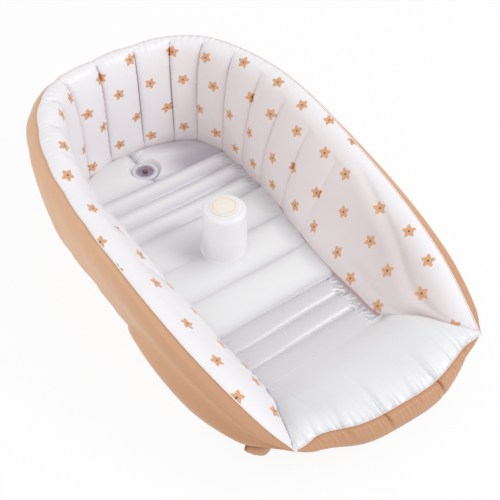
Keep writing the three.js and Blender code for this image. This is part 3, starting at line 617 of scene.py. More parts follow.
def blossom_print(finish, ground, by_weld):
    """Small five-petal blossoms with a dark middle, each turned its own way, redder beside a weld."""
    looks = bpy.context.scene.bathtub_looks
    u, v, _ = finish.split(finish.node("ShaderNodeUVMap", uv_map="UVMap").outputs[0])
    pitch_u = looks.blossom_pitch / MM / UV_UNIT
    pitch_v = pitch_u * ROW_SHARE
    v_tile = finish.math("DIVIDE", v, pitch_v)
    row = finish.math("FLOOR", v_tile)
    u_tile = finish.math("ADD", finish.math("DIVIDE", u, pitch_u), finish.times(row, ROW_SHIFT))
    column = finish.math("FLOOR", u_tile)
    key = finish.node("ShaderNodeCombineXYZ", column, row).outputs[0]
    chance = finish.node("ShaderNodeTexWhiteNoise", key, noise_dimensions="3D").outputs["Color"]
    chance_u, chance_v, chance_turn = finish.node("ShaderNodeSeparateColor", chance).outputs

    def offset(tile, whole, pitch, random):
        local = finish.minus(finish.minus(tile, whole), 0.5)
        wander = finish.times(finish.minus(random, 0.5), WANDER)
        return finish.times(finish.math("ADD", local, wander), pitch)

    x = offset(u_tile, column, pitch_u, chance_u)
    y = offset(v_tile, row, pitch_v, chance_v)
    radius = finish.radius(x, y)
    turn = finish.times(chance_turn, 2 * math.pi)
    angle = finish.math("ADD", finish.math("ARCTAN2", y, x), turn)
    petal = finish.math("COSINE", finish.times(angle, PETALS))
    size = looks.blossom_size / MM / UV_UNIT / 2
    edge = finish.math("MULTIPLY_ADD", petal, 0.19 * size, 0.8 * size)
    inside = finish.step(finish.minus(edge, radius), -0.003, 0.006)
    dimple = finish.step(finish.minus(finish.times(edge, 0.62), radius), -0.03, 0.02, 0, 0.3)
    dot = finish.step(finish.minus(0.15 * size, radius), -0.003, 0.004)
    petals = finish.mix(dimple, (232, 179, 137), (220, 160, 118))
    petals = finish.mix(by_weld, petals, (206, 124, 92))
    return finish.mix(dot, finish.mix(inside, ground, petals), (122, 84, 66))


def printed_vinyl():
    """Inner sheet with print and thin seams; painted rosy shade on the right side, by the welds and at its
    foot.
    """
    finish = Finish("printed_vinyl", 0.36, 0.25, 0.22)
    distance, line = finish.mark("seam_distance"), finish.mark("seam_line")
    from_floor = finish.mark("floor_distance")
    x, y, _ = finish.split(finish.place())
    # Painted shade: the right side below the rim is rosier and darker, most toward the foot end.
    right_side_shade = finish.times(finish.step(y, 0.02, 0.18), finish.step(finish.mark("rim_distance"), 10, 55))
    rosy_shade = finish.mix(finish.step(x, 0.0, 0.22), (244, 234, 233), (234, 222, 221))
    ground = finish.mix(right_side_shade, (252, 250, 253), rosy_shade)
    # Painted shade, pinkish grey, in the creases beside the welds.
    weld_shade = finish.times(finish.step(distance, 0.0, 8.0, 0.3, 0.0), line)
    ground = finish.mix(weld_shade, ground, (232, 216, 218))
    # Painted shade, rosy, low on the wall where it meets the floor.
    ground = finish.mix(finish.step(from_floor, 0.0, 26.0, 0.3, 0.0), ground, (236, 214, 214))
    printed = blossom_print(finish, ground, finish.step(distance, 0.5, 3.5, 0.85, 0.0))
    thread = finish.times(finish.step(distance, 0.3, 0.8, 0.8, 0.0), line)
    printed = finish.mix(thread, printed, (196, 158, 148))
    hem = finish.times(finish.step(from_floor, 0.2, 1.0, 0.6, 0.0), finish.step(x, -0.16, 0.04, 0.15, 1.0))
    printed = finish.mix(hem, printed, (188, 134, 120))
    return finish.vinyl(printed, film=0.25, mottle=0.25)


def clear_white_vinyl():
    finish = Finish("clear_white_vinyl", 0.33, 0.3)
    # Lilac grey painted shade, as much as the mat's and pad's shade mark holds.
    colour = finish.mix(finish.times(finish.mark("painted_shade"), 0.8), (247, 248, 249), (175, 167, 181))
    return finish.vinyl(colour, film=0.25, mottle=0.3)


def white_vinyl():
    finish = Finish("white_vinyl", 0.34, 0.25)
    colour = finish.mix(finish.noise(120), (248, 245, 247), (238, 232, 237))
    return finish.vinyl(colour, film=0.2, mottle=0.3)


def pillar_vinyl():
    finish = Finish("pillar_vinyl", 0.3, 0.3, 0.15)
    colour = finish.mix(finish.noise(30), (253, 252, 253), (247, 246, 249))
    return finish.vinyl(colour, film=0.15, mottle=0.2)


def cream_disc():
    """Plain cream with one thin ring printed round the pillar's axis."""
    finish = Finish("cream_disc", 0.45, 0.1, 0.3)
    x, y, _ = finish.split(finish.place())
    radius = finish.radius(finish.minus(x, PILLAR_X * MM), y)
    ring = finish.times(
        finish.step(radius, 0.0196, 0.0199), finish.step(radius, 0.0208, 0.0211, 1.0, 0.0)
    )
    return finish.vinyl(finish.mix(ring, (254, 246, 235), (233, 213, 188)), film=0.1, mottle=0.2)


def rim_weld_vinyl():
    finish = Finish("rim_weld_vinyl", 0.4, 0.15, 0.25)
    colour = finish.mix(finish.mark("outside"), (246, 242, 243), (226, 178, 138))
    return finish.vinyl(colour, film=0.2, mottle=0.3)


def clear_plastic():
    finish = Finish("clear_plastic", 0.14, 0.4, 0.06)
    colour = finish.mix(finish.noise(200), (246, 244, 248), (232, 228, 237))
    colour = finish.mix(finish.mark("smoky"), colour, (184, 174, 196))
    return finish.plastic(colour, transmission=0.12, grain=260, depth=0.0003)


def smoky_plug_plastic():
    finish = Finish("smoky_plug_plastic", 0.16, 0.5, 0.05)
    colour = finish.mix(finish.noise(160), (188, 182, 204), (160, 152, 180))
    return finish.plastic(colour, transmission=0.25, grain=220, depth=0.0004)


def brown_plastic():
    finish = Finish("brown_plastic", 0.35, 0.3, 0.15)
    colour = finish.mix(finish.noise(180, 3), (150, 102, 84), (122, 84, 72))
    return finish.plastic(colour, transmission=0.0, grain=700, depth=0.0002)


_made = {}


def finish_of(make):
    """The material that a function makes, made once."""
    if make.__name__ not in _made:
        _made[make.__name__] = make()
    return _made[make.__name__]


# Wall cells

CELLS_PER_SIDE = 8
CELL_PITCH = 0.04
CELL_ROWS = 71
CELL_ROUNDNESS = 0.52
PLUMP_SWELL, PLUMP_HEIGHT = 13, 0.74
MIDDLE_ROW = CELL_ROWS // 2
MARK_REACH = 60
RIM_MARK_REACH = 90
FAR = 1e3
SEAM_LINE_SHARES = [1, 1, 1, 0.9, 0.5, 0.25, 0.1, 0, 0, 0, 0, 0, 0]
RIGHT_LINE_SHARES = ([0.4, 1.5, 3.5], [1, 0.6, 0.35])
PANEL_CREASE_HEIGHTS = ([8.0, 9.0, 10.0, 11.5], [0.78, 0.66, 0.52, 0.4])

WALL_RUN_PLACES = np.linspace(-END_PLACE, END_PLACE, 1001)
WALL_RUN = run_length(inner_skin(Sections(WALL_RUN_PLACES), 0, [0.55])[:, 0])


def run_at(place):
    """Distance along the wall at half height, from its left end."""
    return np.interp(place, WALL_RUN_PLACES, WALL_RUN)


def around(values, skin, before, after):
    """Values of a skin's points, the outermost ones repeated for the other points of each ring."""
    return np.pad(np.broadcast_to(values, skin.shape[:2]), ((0, 0), (before, after)), mode="edge")


def wall_cell(pucker_depth, start, end):
    """Rings, marks and print coordinates of the inner wall's cell between two places."""
    places = spread(start, end, CELL_PITCH)
    heights = np.linspace(0, 1, CELL_ROWS)
    t = heights[None, :]
    s = Sections(places)
    v = (places - start) / (end - start)
    weld = 1 - np.maximum(1 - (2 * v - 1) ** 2, 0) ** CELL_ROUNDNESS
    up = run_length(inner_skin(s, weld, heights))
    to_rim = up[:, -1:] - up
    run = run_at(places)[:, None]
    is_panel = max(abs(start), abs(end)) > LAST_WELD
    from_start = run - run_at(start) if abs(start) <= LAST_WELD else FAR
    from_end = run_at(end) - run if abs(end) <= LAST_WELD else FAR
    at_head = np.clip(1.25 - np.abs(places) / 7, 0.15, 1)[:, None]
    top = share_at(WELD_TOPS, places)[:, None]
    on_weld = smooth(t, 0.0, 0.06) * smooth(t, top + 0.02, top - 0.12)
    at_welds = sum(
        gathers(up + 3 * place, away, depth=1.5, pitch=15, seed=place, reach=6)
        for place, away in ((start, from_start), (end, from_end))
    )
    at_rim = gathers(run, to_rim, depth=2.2, pitch=10, seed=1.3, reach=20) * smooth(to_rim, 0, 3)
    at_floor = gathers(run, up, depth=0.8, pitch=17, seed=0.4, reach=7) * smooth(up, 0, 3)
    dent = pucker_depth * ((at_welds * on_weld + at_rim) * at_head + at_floor)
    plump = (smooth(places, -1.6, -2.6) * smooth(places, -5.6, -4.4))[:, None]
    dent = dent - PLUMP_SWELL * plump * bell(t - PLUMP_HEIGHT, 0.2)
    if is_panel:
        dent = dent + panel_creases(places, t, up, run)
    inner = inner_skin(s, weld, heights, dent)
    base = inner[:, :1].copy()
    base[..., 2] = (lowest_at(places) + SHEET_TOP)[:, None]
    rings = np.concatenate([base, inner, back_skin(s, SHEET_TOP)], axis=1)
    hidden = 1, rings.shape[1] - CELL_ROWS - 1
    line = share_at(SEAM_LINE_SHARES, places) * np.interp(places, *RIGHT_LINE_SHARES)
    plain_foot = MARK_REACH * smooth(places, -10.2, -10.6)[:, None]
    marks = {
        "seam_distance": np.minimum(np.minimum(from_start, from_end), MARK_REACH),
        "seam_line": line[:, None] * on_weld,
        "floor_distance": np.minimum(up, MARK_REACH) + plain_foot,
        "rim_distance": np.minimum(to_rim, RIM_MARK_REACH),
    }
    if is_panel:
        run, up = flat_print(inner, places, run, up)
    uv = np.stack([around(run, inner, *hidden), around(up, inner, *hidden)], axis=2) / UV_UNIT
    return rings, {mark: around(values, inner, *hidden) for mark, values in marks.items()}, uv


def flat_print(skin, places, run, up):
    """Print coordinates of a last side panel, laid flat on its mean plane away from the weld."""
    weld = np.argmin(np.abs(places))
    end = len(places) - 1 - weld
    along = skin[end, MIDDLE_ROW] - skin[weld, MIDDLE_ROW]
    along /= np.linalg.norm(along)
    middle = np.argmin(np.abs(np.abs(places) - 9.5))
    rise = skin[middle, -8] - skin[middle, 0]
    rise -= along * (rise @ along)
    rise /= np.linalg.norm(rise)
    local = skin - skin[weld, MIDDLE_ROW]
    flat_run = run_at(places[weld]) + local @ along * (1 if end > weld else -1)
    flat_up = up[weld, MIDDLE_ROW] + local @ rise
    share = smooth(np.abs(places), LAST_WELD, 9.6)[:, None]
    return run + (flat_run - run) * share, up + (flat_up - up) * share


def panel_creases(places, t, up, run):
    """The long soft crease of the last side panel, and the low roll and gathers along the floor's edge."""
    place = np.abs(places)[:, None]
    across = t - np.interp(place, *PANEL_CREASE_HEIGHTS)
    on_side = np.where(places > 0, 1.0, 0.15)[:, None]
    ends = smooth(place, 7.7, 8.5) * smooth(place, 12.0, 10.8) * on_side
    crease = (3.2 * bell(across, 0.045) - 2.0 * bell(across + 0.13, 0.07)) * ends
    low_roll = 2.2 * bell(t - 0.17, 0.05) * smooth(place, 8.6, 9.4) * smooth(place, 12.2, 11.2)
    at_floor = gathers(run, up, depth=1.2, pitch=26, seed=0.7, reach=16) * smooth(up, 0, 4)
    return crease + low_roll + at_floor * smooth(place, 8.8, 9.8) * smooth(place, 12.3, 11.3)


class BATHTUB_OT_inner_wall(bpy.types.Operator):
    """Builds the seventeen printed air cells of the inner wall"""

    bl_idname = "bathtub.inner_wall"
    bl_label = "Inner wall"

    def execute(self, context):
        pucker_depth = context.scene.bathtub_looks.pucker_depth / MM
        cells = [("wall_cell_head", -0.5, 0.5)]
        for k in range(CELLS_PER_SIDE):
            start, end = k + 0.5, END_PLACE if k == CELLS_PER_SIDE - 1 else k + 1.5
            cells += [(f"wall_cell_right_{k + 1}", start, end), (f"wall_cell_left_{k + 1}", -end, -start)]
        for node, start, end in cells:
            rings, marks, uv = wall_cell(pucker_depth, start, end)
            options = {"uv": uv, "marks": marks, "fill": 0.95, "soft": True}
            make_piece(f"{node}_skin", rings, printed_vinyl, [node], "white_skin", **options)
        return {"FINISHED"}


# Outer wall

# Each valve's place along the wall and its height
VALVES = {"wall_valve": (2.6, 190), "floor_valve": (3.6, 95)}
OUTER_PITCH, FINE_PITCH, FINE_REACH = 0.07, 0.022, 0.42
OUTER_ROWS = 91
SEAT_RADIUS, SEAT_BLEND_RADIUS = 18.6, 30
SEAT_DEPTH = 2.5
SEAT_POCKET = [(0, -20), (7.09, -20), (7.1, -19.99), (7.1, 3.99), (7.09, 4), (0, 4)]

# Where an inner web pulls: its place, its share of the way down and its depth
WEB_PULLS = ((2.9, 0.5, 1.6), (4.0, 0.4, 1.8), (5.2, 0.34, 1.8), (6.9, 0.27, 2.2), (7.7, 0.33, 2.2))
FOLD_HEIGHTS = (
    [0, 6.9, 7.3, 7.8, 8.5, 9.6, 10.5, 11.7, 12.5],
    [0.86, 0.86, 0.74, 0.58, 0.51, 0.47, 0.48, 0.5, 0.5],
)
FOLD_DEPTHS = ([0, 6.6, 7.2, 8.0, 9.0, 11.0, 12.3], [0, 0, 4.0, 4.6, 4.0, 2.4, 0.0])


def skin_frame(place, height):
    """Frame on the outer skin with +Z out and +Y up along the skin, in millimetres."""
    s = Sections([place])
    skin = outer_skin(s, np.linspace(0, 1, 101))[0]
    i = int(np.argmax(skin[:, 2] <= height))
    up = Vector(skin[i - 1] - skin[i + 1]).normalized()
    side = Vector((-s.normal[0][1], s.normal[0][0], 0))
    matrix = Matrix((side, up, side.cross(up))).transposed().to_4x4()
    matrix.translation = Vector(skin[i])
    return matrix


def outer_dents(s, heights):
    """Dents of the outer skin: pulls of the inner webs, the long fold and gathers under the rim, and a
    painted highlight along the fold.
    """
    t = np.asarray(heights)[None, :]
    side = np.abs(s.place[:, None])
    down = t * (s.rim[:, 2] - lowest_at(s.place))[:, None]
    run = run_length(s.rim)[:, None]
    dents = np.zeros((len(s.place), len(heights)))
    for place, middle, depth in WEB_PULLS:
        dents += depth * bell(side - place - 1.5 * (t - middle), 0.09) * bell(t - middle, 0.1)
    from_fold = t - np.interp(side, *FOLD_HEIGHTS)
    deep = np.interp(side, *FOLD_DEPTHS)
    dents += deep * (bell(from_fold, 0.04) - 0.3 * bell(from_fold - 0.15, 0.09))
    dents += 4.0 * bell(side - 7.15, 0.22) * smooth(t, 0.5, 0.68)
    dents += gathers(run, down, depth=0.7, pitch=15, seed=0.2, reach=12) * smooth(down, 0, 4)
    dents += 0.8 * ripple(run, 40, 2.2) * smooth(t, 0.72, 0.85) * smooth(t, 1.0, 0.92)
    # The second value is a painted highlight, a pale band along the upper side of the long fold.
    return dents, bell(from_fold + 0.03, 0.07) * np.clip(deep / 4, 0, 1)


def outer_wall_rings():
    """Rings and marks of the outer skin, with a flat seat for each valve."""
    near_valves = [(place, FINE_REACH, FINE_PITCH) for place, _ in VALVES.values()]
    s = Sections(spread(-END_PLACE, END_PLACE, OUTER_PITCH, near_valves))
    heights = np.linspace(0, 1, OUTER_ROWS)
    dents, crease = outer_dents(s, heights)
    skin = outer_skin(s, heights, dents)
    for valve in VALVES.values():
        matrix = skin_frame(*valve)
        to_seat, from_seat = np.array(matrix.inverted()), np.array(matrix)
        local = skin @ to_seat[:3, :3].T + to_seat[:3, 3]
        x, y, z = local[..., 0], local[..., 1], local[..., 2]
        hold = smooth(np.hypot(x, y), SEAT_BLEND_RADIUS, SEAT_RADIUS) * (np.abs(z) < 25)
        local[..., 2] += (-SEAT_DEPTH - z) * hold
        skin = np.where(hold[..., None] > 0, local @ from_seat[:3, :3].T + from_seat[:3, 3], skin)
        crease = crease * (1 - hold)
    back = back_skin(s, 0)[:, ::-1]
    # The crease mark holds the painted highlight along the fold.
    marks = {"seam_distance": np.minimum(run_length(skin), MARK_REACH), "crease": crease}
    marks = {mark: around(values, skin, 0, back.shape[1]) for mark, values in marks.items()}
    return np.concatenate([skin, back], axis=1), marks


class BATHTUB_OT_outer_wall(bpy.types.Operator):
    """Builds the tan outer skin round the head and both sides, with its valve seats"""

    bl_idname = "bathtub.outer_wall"
    bl_label = "Outer wall"

    def execute(self, context):
        rings, marks = outer_wall_rings()
        parts = ("head_middle", "head_right", "head_left", "side_right", "side_left")
        nodes = [f"outer_wall_{part}" for part in parts]
        options = {"marks": marks, "fill": 0.9, "soft": True}
        piece = make_piece("outer_wall_skin", rings, tan_vinyl, nodes, "tan_skin", **options)
        pocket = solid_turned(SEAT_POCKET, 32)
        carve(piece, [placed(pocket, skin_frame(*valve)) for valve in VALVES.values()])
        return {"FINISHED"}


# Floor mat

RIB_SHARES = [0.159, 0.0731, 0.0731, 0.0731, 0.1415, 0.1415, 0.1415]
RIB_SHARES += [(1 - sum(RIB_SHARES)) / 3] * 3
RIB_ENDS = FLOOR_HEAD_X + FLOOR_RUN * np.cumsum(RIB_SHARES)
WELD_SINKS = np.array([4, 8, 8, 8, 6.5, 4.5, 4.5, 7.5, 8.5, 8.5, 2.4])
LOBE_ROWS, RIB_ROWS, MAT_COLUMNS = 49, 23, 111
MAT_CROWN = 2.6
SPLIT_DEPTH = 11
CREASE_DEPTH = 2.6

# Radii between which the mat grows level round the pillar and the drain
PILLAR_SEAT = (62, 47)
DRAIN_SEAT = (33, 27.9)
DRAIN_SEAT_HEIGHT = 41
DRAIN_HOLE = [(0, -4), (18.3, -4), (18.3, 60), (0, 60)]

EDGE_FEET = Sections(np.linspace(0, PAD_PLACE, 400)).foot


class OnMat:
    """Where points of the floor lie on the mat's ribs, which are two lobes, narrow, wide and last ones."""

    def __init__(self, x, y, half):
        self.x, self.y = x, y
        self.side, self.to_edge = np.abs(y), half - np.abs(y)
        starts = np.concatenate([[FLOOR_HEAD_X + FIT_GAP], RIB_ENDS[:-1]])
        self.rib = rib = np.clip(np.searchsorted(RIB_ENDS, x, side="left"), 0, len(RIB_ENDS) - 1)
        self.lobe, self.last = rib == 0, rib > 6
        self.narrow, self.wide = (rib >= 1) & (rib <= 3), (rib >= 4) & (rib <= 6)
        self.left, self.plump = y < 0, self.wide | self.lobe
        start, end = starts[rib], RIB_ENDS[rib]
        v = np.clip((x - start) / (end - start), 0, 1)
        self.from_middle = np.abs(2 * v - 1)
        self.sink = np.where(v < 0.5, WELD_SINKS[rib], WELD_SINKS[rib + 1])
        self.to_weld = np.abs(x - np.where(v < 0.5, start, end))
        self.faded = 0.62 + 0.38 * smooth(y / half, -0.9, 0.2)
        self.end_reach = np.select([self.left, self.plump], [10.0, 15.0], 30.0)
        at_end = smooth(self.to_edge, self.end_reach + 6, self.end_reach - 8) * smooth(self.to_edge, 0, 8)
        fanned = x - (x - start - 0.4 * (end - start)) * 0.5 * smooth(self.to_edge, 34, 4)
        self.wrinkle = ripple(fanned, 6.5, 0.3 + np.sign(y)) * at_end
        self.split_crease = ripple(x + 0.3 * self.side, 8, 0.5) * bell(self.side, 17) * self.lobe

    def height(self):
        weld = self.from_middle**2.1 * self.sink + 1.2 * bell(self.to_weld, 2.2) * self.sink / 8
        lobe_split = SPLIT_DEPTH * np.exp(-((self.side / 13) ** 1.1)) * self.lobe
        fall = np.maximum(weld * self.faded, lobe_split)
        end_sink = np.select([self.left, self.lobe, self.wide], [1.5, 5.0, 3.0], 8.5)
        end_fall = np.maximum(end_sink - 0.75 * fall, 0) * smooth(self.to_edge, self.end_reach, 2)
        pucker = self.wrinkle * np.select([self.plump, self.left], [0.5, 1.0], 2.8)
        at_lobes = (self.rib <= 1) & (self.x < RIB_ENDS[0] + 12)
        beads = np.select([at_lobes, self.narrow], [1.1, 0.35], 0.15)
        at_welds = gathers(self.y, self.to_weld, depth=beads, pitch=9, seed=self.rib, reach=7)
        folds = pucker + at_welds + CREASE_DEPTH * self.split_crease
        return MAT_HEIGHT + MAT_CROWN - fall - end_fall + folds

    def painted_shade(self):
        """Painted shade of the mat, 0 to 1: grooves, ends, by the right wall, last ribs, and the pillar's
        shadow.
        """
        to_edge, to_right = self.to_edge, smooth(self.y, 5, 85)
        in_weld = np.where(self.wide, 1.0, 0.6) * fade(self.to_weld, 9)
        in_weld = np.where(self.narrow, 0.75 * self.from_middle**1.3, in_weld)
        at_end = np.select([self.left, self.wide], [0.1, 0.3], 0.62)
        painted_shade = np.maximum.reduce([
            in_weld * np.clip(self.sink / 8, 0, 1) * self.faded,
            fade(self.side, 6) * self.lobe,
            at_end * smooth(to_edge, self.end_reach + 4, 6),
            # Painted shade from the right wall over the head lobe and the rib ends beside it.
            to_right * smooth(self.x - RIB_ENDS[0], -70, -10) * self.lobe,
            0.8 * to_right * smooth(to_edge, 110, 30) * self.lobe,
            0.4 * smooth(self.y, 0, 60) * smooth(to_edge, 50, 8) * self.wide,
            0.75 * smooth(self.y, 0, 30) * smooth(to_edge, 26, 4) * self.narrow,
            0.5 * self.last,
        ])
        # Painted highlights and shade along the wrinkles and the head lobes' split crease.
        painted_shade = painted_shade - np.where(self.plump | self.left, 0.08, 0.42) * self.wrinkle
        painted_shade = painted_shade - 0.3 * self.split_crease
        # Painted shadow of the pillar on the mat beside it.
        pillar_shadow = 0.65 * bell(np.hypot(self.x - PILLAR_X + 10, self.y + 56), 42)
        return np.clip(np.maximum(painted_shade, pillar_shadow), 0, 1)


def mat_rings():
    """Rings of the mat, one for every row of points across it, and how much painted shade each point takes.
    """
    rows = [np.linspace(EDGE_FEET[0, 0] + FIT_GAP, RIB_ENDS[0], LOBE_ROWS)]
    for start, end in zip(RIB_ENDS[:-1], RIB_ENDS[1:]):
        u = np.linspace(0, 1, RIB_ROWS)[1:]
        rows.append(start + (end - start) * (u - 0.2 * np.sin(2 * np.pi * u) / np.pi))
    x = np.concatenate(rows)[:, None]
    half = np.interp(x, EDGE_FEET[:, 0], EDGE_FEET[:, 1]) + 0.5
    u = np.linspace(-1, 1, MAT_COLUMNS)
    y = half * (0.55 * u + 0.45 * u**3)
    x = x + 0 * y
    on_mat = OnMat(x, y, half)
    z = on_mat.height()
    z += (MAT_HEIGHT - 0.1 - z) * smooth(np.hypot(x - PILLAR_X, y), *PILLAR_SEAT)
    from_drain = np.hypot(x - DRAIN_X, y)
    z += (DRAIN_SEAT_HEIGHT - z) * smooth(from_drain, *DRAIN_SEAT)
    # Painted shade in a ring round the drain's flange.
    painted_shade = np.maximum(on_mat.painted_shade(), 0.3 * fade(np.abs(from_drain - 28), 3))
    top = np.stack([x, y, z], axis=2)
    edge = np.stack([x[:, :1], half, np.full_like(half, SHEET_TOP)], axis=2)
    rings = np.concatenate([top, edge, edge * [1, -1, 1]], axis=1)
    return rings, np.concatenate([painted_shade, painted_shade[:, -1:], painted_shade[:, :1]], axis=1)


class BATHTUB_OT_floor_mat(bpy.types.Operator):
    """Builds the ribbed floor mat with its two head lobes"""

    bl_idname = "bathtub.floor_mat"
    bl_label = "Floor mat"

    def execute(self, context):
        rings, painted_shade = mat_rings()
        options = {"marks": {"painted_shade": painted_shade}, "fill": 0.9, "soft": True}
        piece = make_piece("floor_mat_skin", rings, clear_white_vinyl, ["floor_mat"], "mat_skin", **options)
        carve(piece, [moved(solid_turned(DRAIN_HOLE, 64), DRAIN_X)])
        return {"FINISHED"}


class BATHTUB_OT_base_sheet(bpy.types.Operator):
    """Gives the sheet under the floor its tan vinyl"""

    bl_idname = "bathtub.base_sheet"
    bl_label = "Base sheet"

    def execute(self, context):
        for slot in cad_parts["base_sheet"].material_slots:
            slot.material = finish_of(tan_vinyl)
        return {"FINISHED"}


# Backrest pad and low end

# The sharp tucks that cross the low end's seam: their y, their depth and how far they reach
TUCKS = [(-150, 2.4, 28), (-109, 4.2, 40), (-46, 6.0, 52), (12, 3.4, 26)]
TUCKS += [(60, 7.0, 56), (100, 2.6, 34), (142, 2.4, 30)]
PAD_CROWN, PAD_CROWN_MORE = 24, 6
PAD_FALL = 20
CORNER_DIP = 7
PAD_ROWS = 61
FOOT_ROWS = 61
UNDER_ROWS = 7

# The low end's profile: shares of its swell outwards, then of its run inwards, and shares of its height
FOOT_OUTS = (0, 0.65, 1, 0.4)
FOOT_INS = (0.1, 0.38, 0.56)
FOOT_HEIGHTS = (1, 0.96, 0.73, 0.49, 0.37, 0.15, 0)


def seam_line(y):
    """Points of the seam at the top of the low end."""
    x = FOOT_SEAM_X - FOOT_BOW * (y / CORNER_Y) ** 2
    return np.stack([x, y, np.full_like(y, CORNER_RIM_HEIGHT)], axis=-1)


def pad_front():
    """Front edge of the pad from one low corner to the other, and the y where the side walls bound it."""
    flank = Sections(np.linspace(PAD_PLACE, END_PLACE, 60)).foot
    along = np.gradient(flank, axis=0)
    inward = np.column_stack([along[:, 1], -along[:, 0], np.zeros(len(flank))])
    flank = flank - inward / np.linalg.norm(inward, axis=1)[:, None] * 0.8
    flank[:, 0] = np.maximum(flank[:, 0], PAD_START_X + FIT_GAP)
    y = np.linspace(0, flank[0, 1], 90)[:-1]
    middle = np.column_stack([np.full_like(y, PAD_START_X + FIT_GAP), y, np.full_like(y, MAT_HEIGHT)])
    half = np.vstack([middle, flank])
    return np.vstack([half[:0:-1] * [1, -1, 1], half]), flank[0, 1]


def tuck_at(y, away, sharp, widening, reach_share):
    """Depth of the tucks at a distance away from the seam, where each has grown wider and flatter."""
    depth = np.zeros(np.broadcast(y, away).shape)
    for centre, deep, reach in TUCKS:
        width = sharp + widening * away
        off = np.abs(y - centre)
        line = np.exp(-((off / width) ** 1.5)) - 0.3 * bell(off - 3.2 * width, 1.6 * width)
        depth += deep * line * bell(away, reach_share * reach)
    return depth


def pad_slope(front, p):
    """Points on the straight slopes from the pad's front to the seam, p running from 0 to 1."""
    p = p[None, :, None]
    return front[:, None, :] * (1 - p) + seam_line(front[:, None, 1]) * p


def pad_underside(front, p, flank_y):
    points = pad_slope(front, p)
    flank = np.maximum(0, np.abs(front[:, 1:2]) - flank_y) / (CORNER_Y - flank_y)
    points[..., 2] -= PAD_FALL * (1 - 0.9 * flank**2) * (1 - p)
    return points


def pad_top(front, p, flank_y):
    """Top of the pad: its crown, the tucks and gathers at the seam, and the dips at its front corners."""
    points = pad_slope(front, p)
    y = front[:, 1:2]
    side = np.abs(y) / CORNER_Y
    crown = (PAD_CROWN + PAD_CROWN_MORE * smooth(y, 60, 130)) * np.maximum(1 - side**3.4, 0) ** 0.6
    steep = 1.2 - 0.6 * smooth(side, 0.5, 0.75) - 0.15 * smooth(y, 80, 130)
    lift_front = np.maximum(1 - (2 * p - 1) ** 2, 0) ** steep
    lift = np.where(p < 0.5, lift_front, np.maximum(1 - np.abs(2 * p - 1) ** 2.4, 0) ** 0.8)
    to_seam = (1 - p) * (seam_line(y)[..., 0] - front[:, :1])
    tucks = tuck_at(y * (1 + 0.001 * to_seam), to_seam, 1.6, 0.07, 1.0) * smooth(to_seam, 0, 4)
    at_seam = (
        gathers(y, to_seam, depth=1.1, pitch=8.5, seed=0.8, reach=15)
        + gathers(y, to_seam, depth=0.8, pitch=21, seed=2.0, reach=26)
        + 1.9 * (1 - np.abs(ripple(y, 26, 0.3))) ** 3 * fade(to_seam, 24)
    ) * smooth(to_seam, 0, 3)
    from_front = p * PAD_START_INSET
    at_front = gathers(y, from_front, depth=0.3, pitch=15, seed=1.9, reach=8) * smooth(p, 0, 0.03)
    points[..., 2] += crown * lift - (tucks + at_seam + at_front) * smooth(side, 1.0, 0.9)
    from_corner = points[..., 0] - PAD_START_X, y - flank_y
    turn = np.arctan2(from_corner[0], -from_corner[1])
    dip = bell(np.hypot(*from_corner), 24) * smooth(p, 0, 0.04)
    points[..., 2] -= (CORNER_DIP + 1.5 * ripple(turn * 30, 9, 0.4)) * dip
    points += [-1.5, 0, 0.5] * fade(from_front, 3)[:, None]
    return points


def pad_painted_shade(top, front, p, flank_y):
    """Painted shade on the pad: along the seam and the front, in the front corner and toward the left."""
    y = front[:, 1:2]
    to_seam = np.linalg.norm(top[:, -1:] - top, axis=2)
    creases = (1 - np.abs(ripple(y, 26, 0.3))) ** 4
    flank = smooth(np.abs(y), flank_y - 20, flank_y + 10)
    from_corner = np.hypot(top[..., 0] - PAD_START_X, top[..., 1] - flank_y)
    at_left = smooth(y, -60, -130) * smooth(to_seam, 8, 50)
    return np.maximum.reduce([
        0.4 * fade(to_seam, 4) + 0.35 * creases * fade(to_seam, 20),
        (0.25 + 0.2 * flank) * fade(p * PAD_START_INSET, 9),
        0.6 * bell(from_corner, 20),
        0.12 * smooth(to_seam, 6, 50) + 0.16 * at_left,
    ])


def low_end_wall(front, flank_y):
    """Rings and marks of the tan wall that carries the pad, gathered at the seam, with painted highlights on
    the gathers.
    """
    y = front[:, 1]
    side = np.abs(y) / CORNER_Y
    seam = seam_line(y)
    seam[:, 2] -= 2 * FIT_GAP
    lowest = CORNER_RIM_HEIGHT * 0.97 * side**3.2
    tall = seam[:, 2] - lowest
    run = seam[:, 0] - front[:, 0]
    swell = FOOT_SWELL * (1 - side**3) + 7 * bell(y + 150, 26)
    outs = [swell * share for share in FOOT_OUTS] + [-run * share for share in FOOT_INS]
    profile = profiles(outs, [tall * share for share in FOOT_HEIGHTS], np.linspace(0, 1, FOOT_ROWS))
    down = run_length(profile)
    slanted = y[:, None] - 0.22 * down
    depth = 0.75 + 0.45 * ripple(y[:, None], 60, 1.1)
    at_seam = gathers(slanted, down, depth=depth, pitch=7.5, seed=0.8, reach=22)
    tucks = tuck_at(slanted, down, 1.4, 0.05, 0.5) + 1.8 * at_seam
    tucks *= smooth(down, 0, 3) * smooth(side, 1.0, 0.85)[:, None]
    x = seam[:, :1] + profile[..., 0] - tucks
    z = lowest[:, None] + profile[..., 1] - 0.6 * tucks * fade(down, 12)
    outside = np.stack([x, np.broadcast_to(y[:, None], x.shape), z], axis=2)[:, 1:]
    under = pad_underside(front, np.linspace(0, 1, UNDER_ROWS), flank_y)
    under[..., 2] -= 2 * FIT_GAP
    last = np.stack([front[:, 0], y, lowest], axis=1)[:, None, :]
    # Painted highlight on the ridges of the gathers below the seam.
    pale = 0.7 * np.maximum(-at_seam, 0) * smooth(down, 1, 4)
    hidden = ((0, 0), (under.shape[1], 1))
    distance = np.pad(np.minimum(down[:, 1:], MARK_REACH), hidden, constant_values=((0, 0), (0, MARK_REACH)))
    marks = {"seam_distance": distance, "crease": np.pad(pale[:, 1:], hidden)}
    return np.concatenate([under, outside, last], axis=1), marks


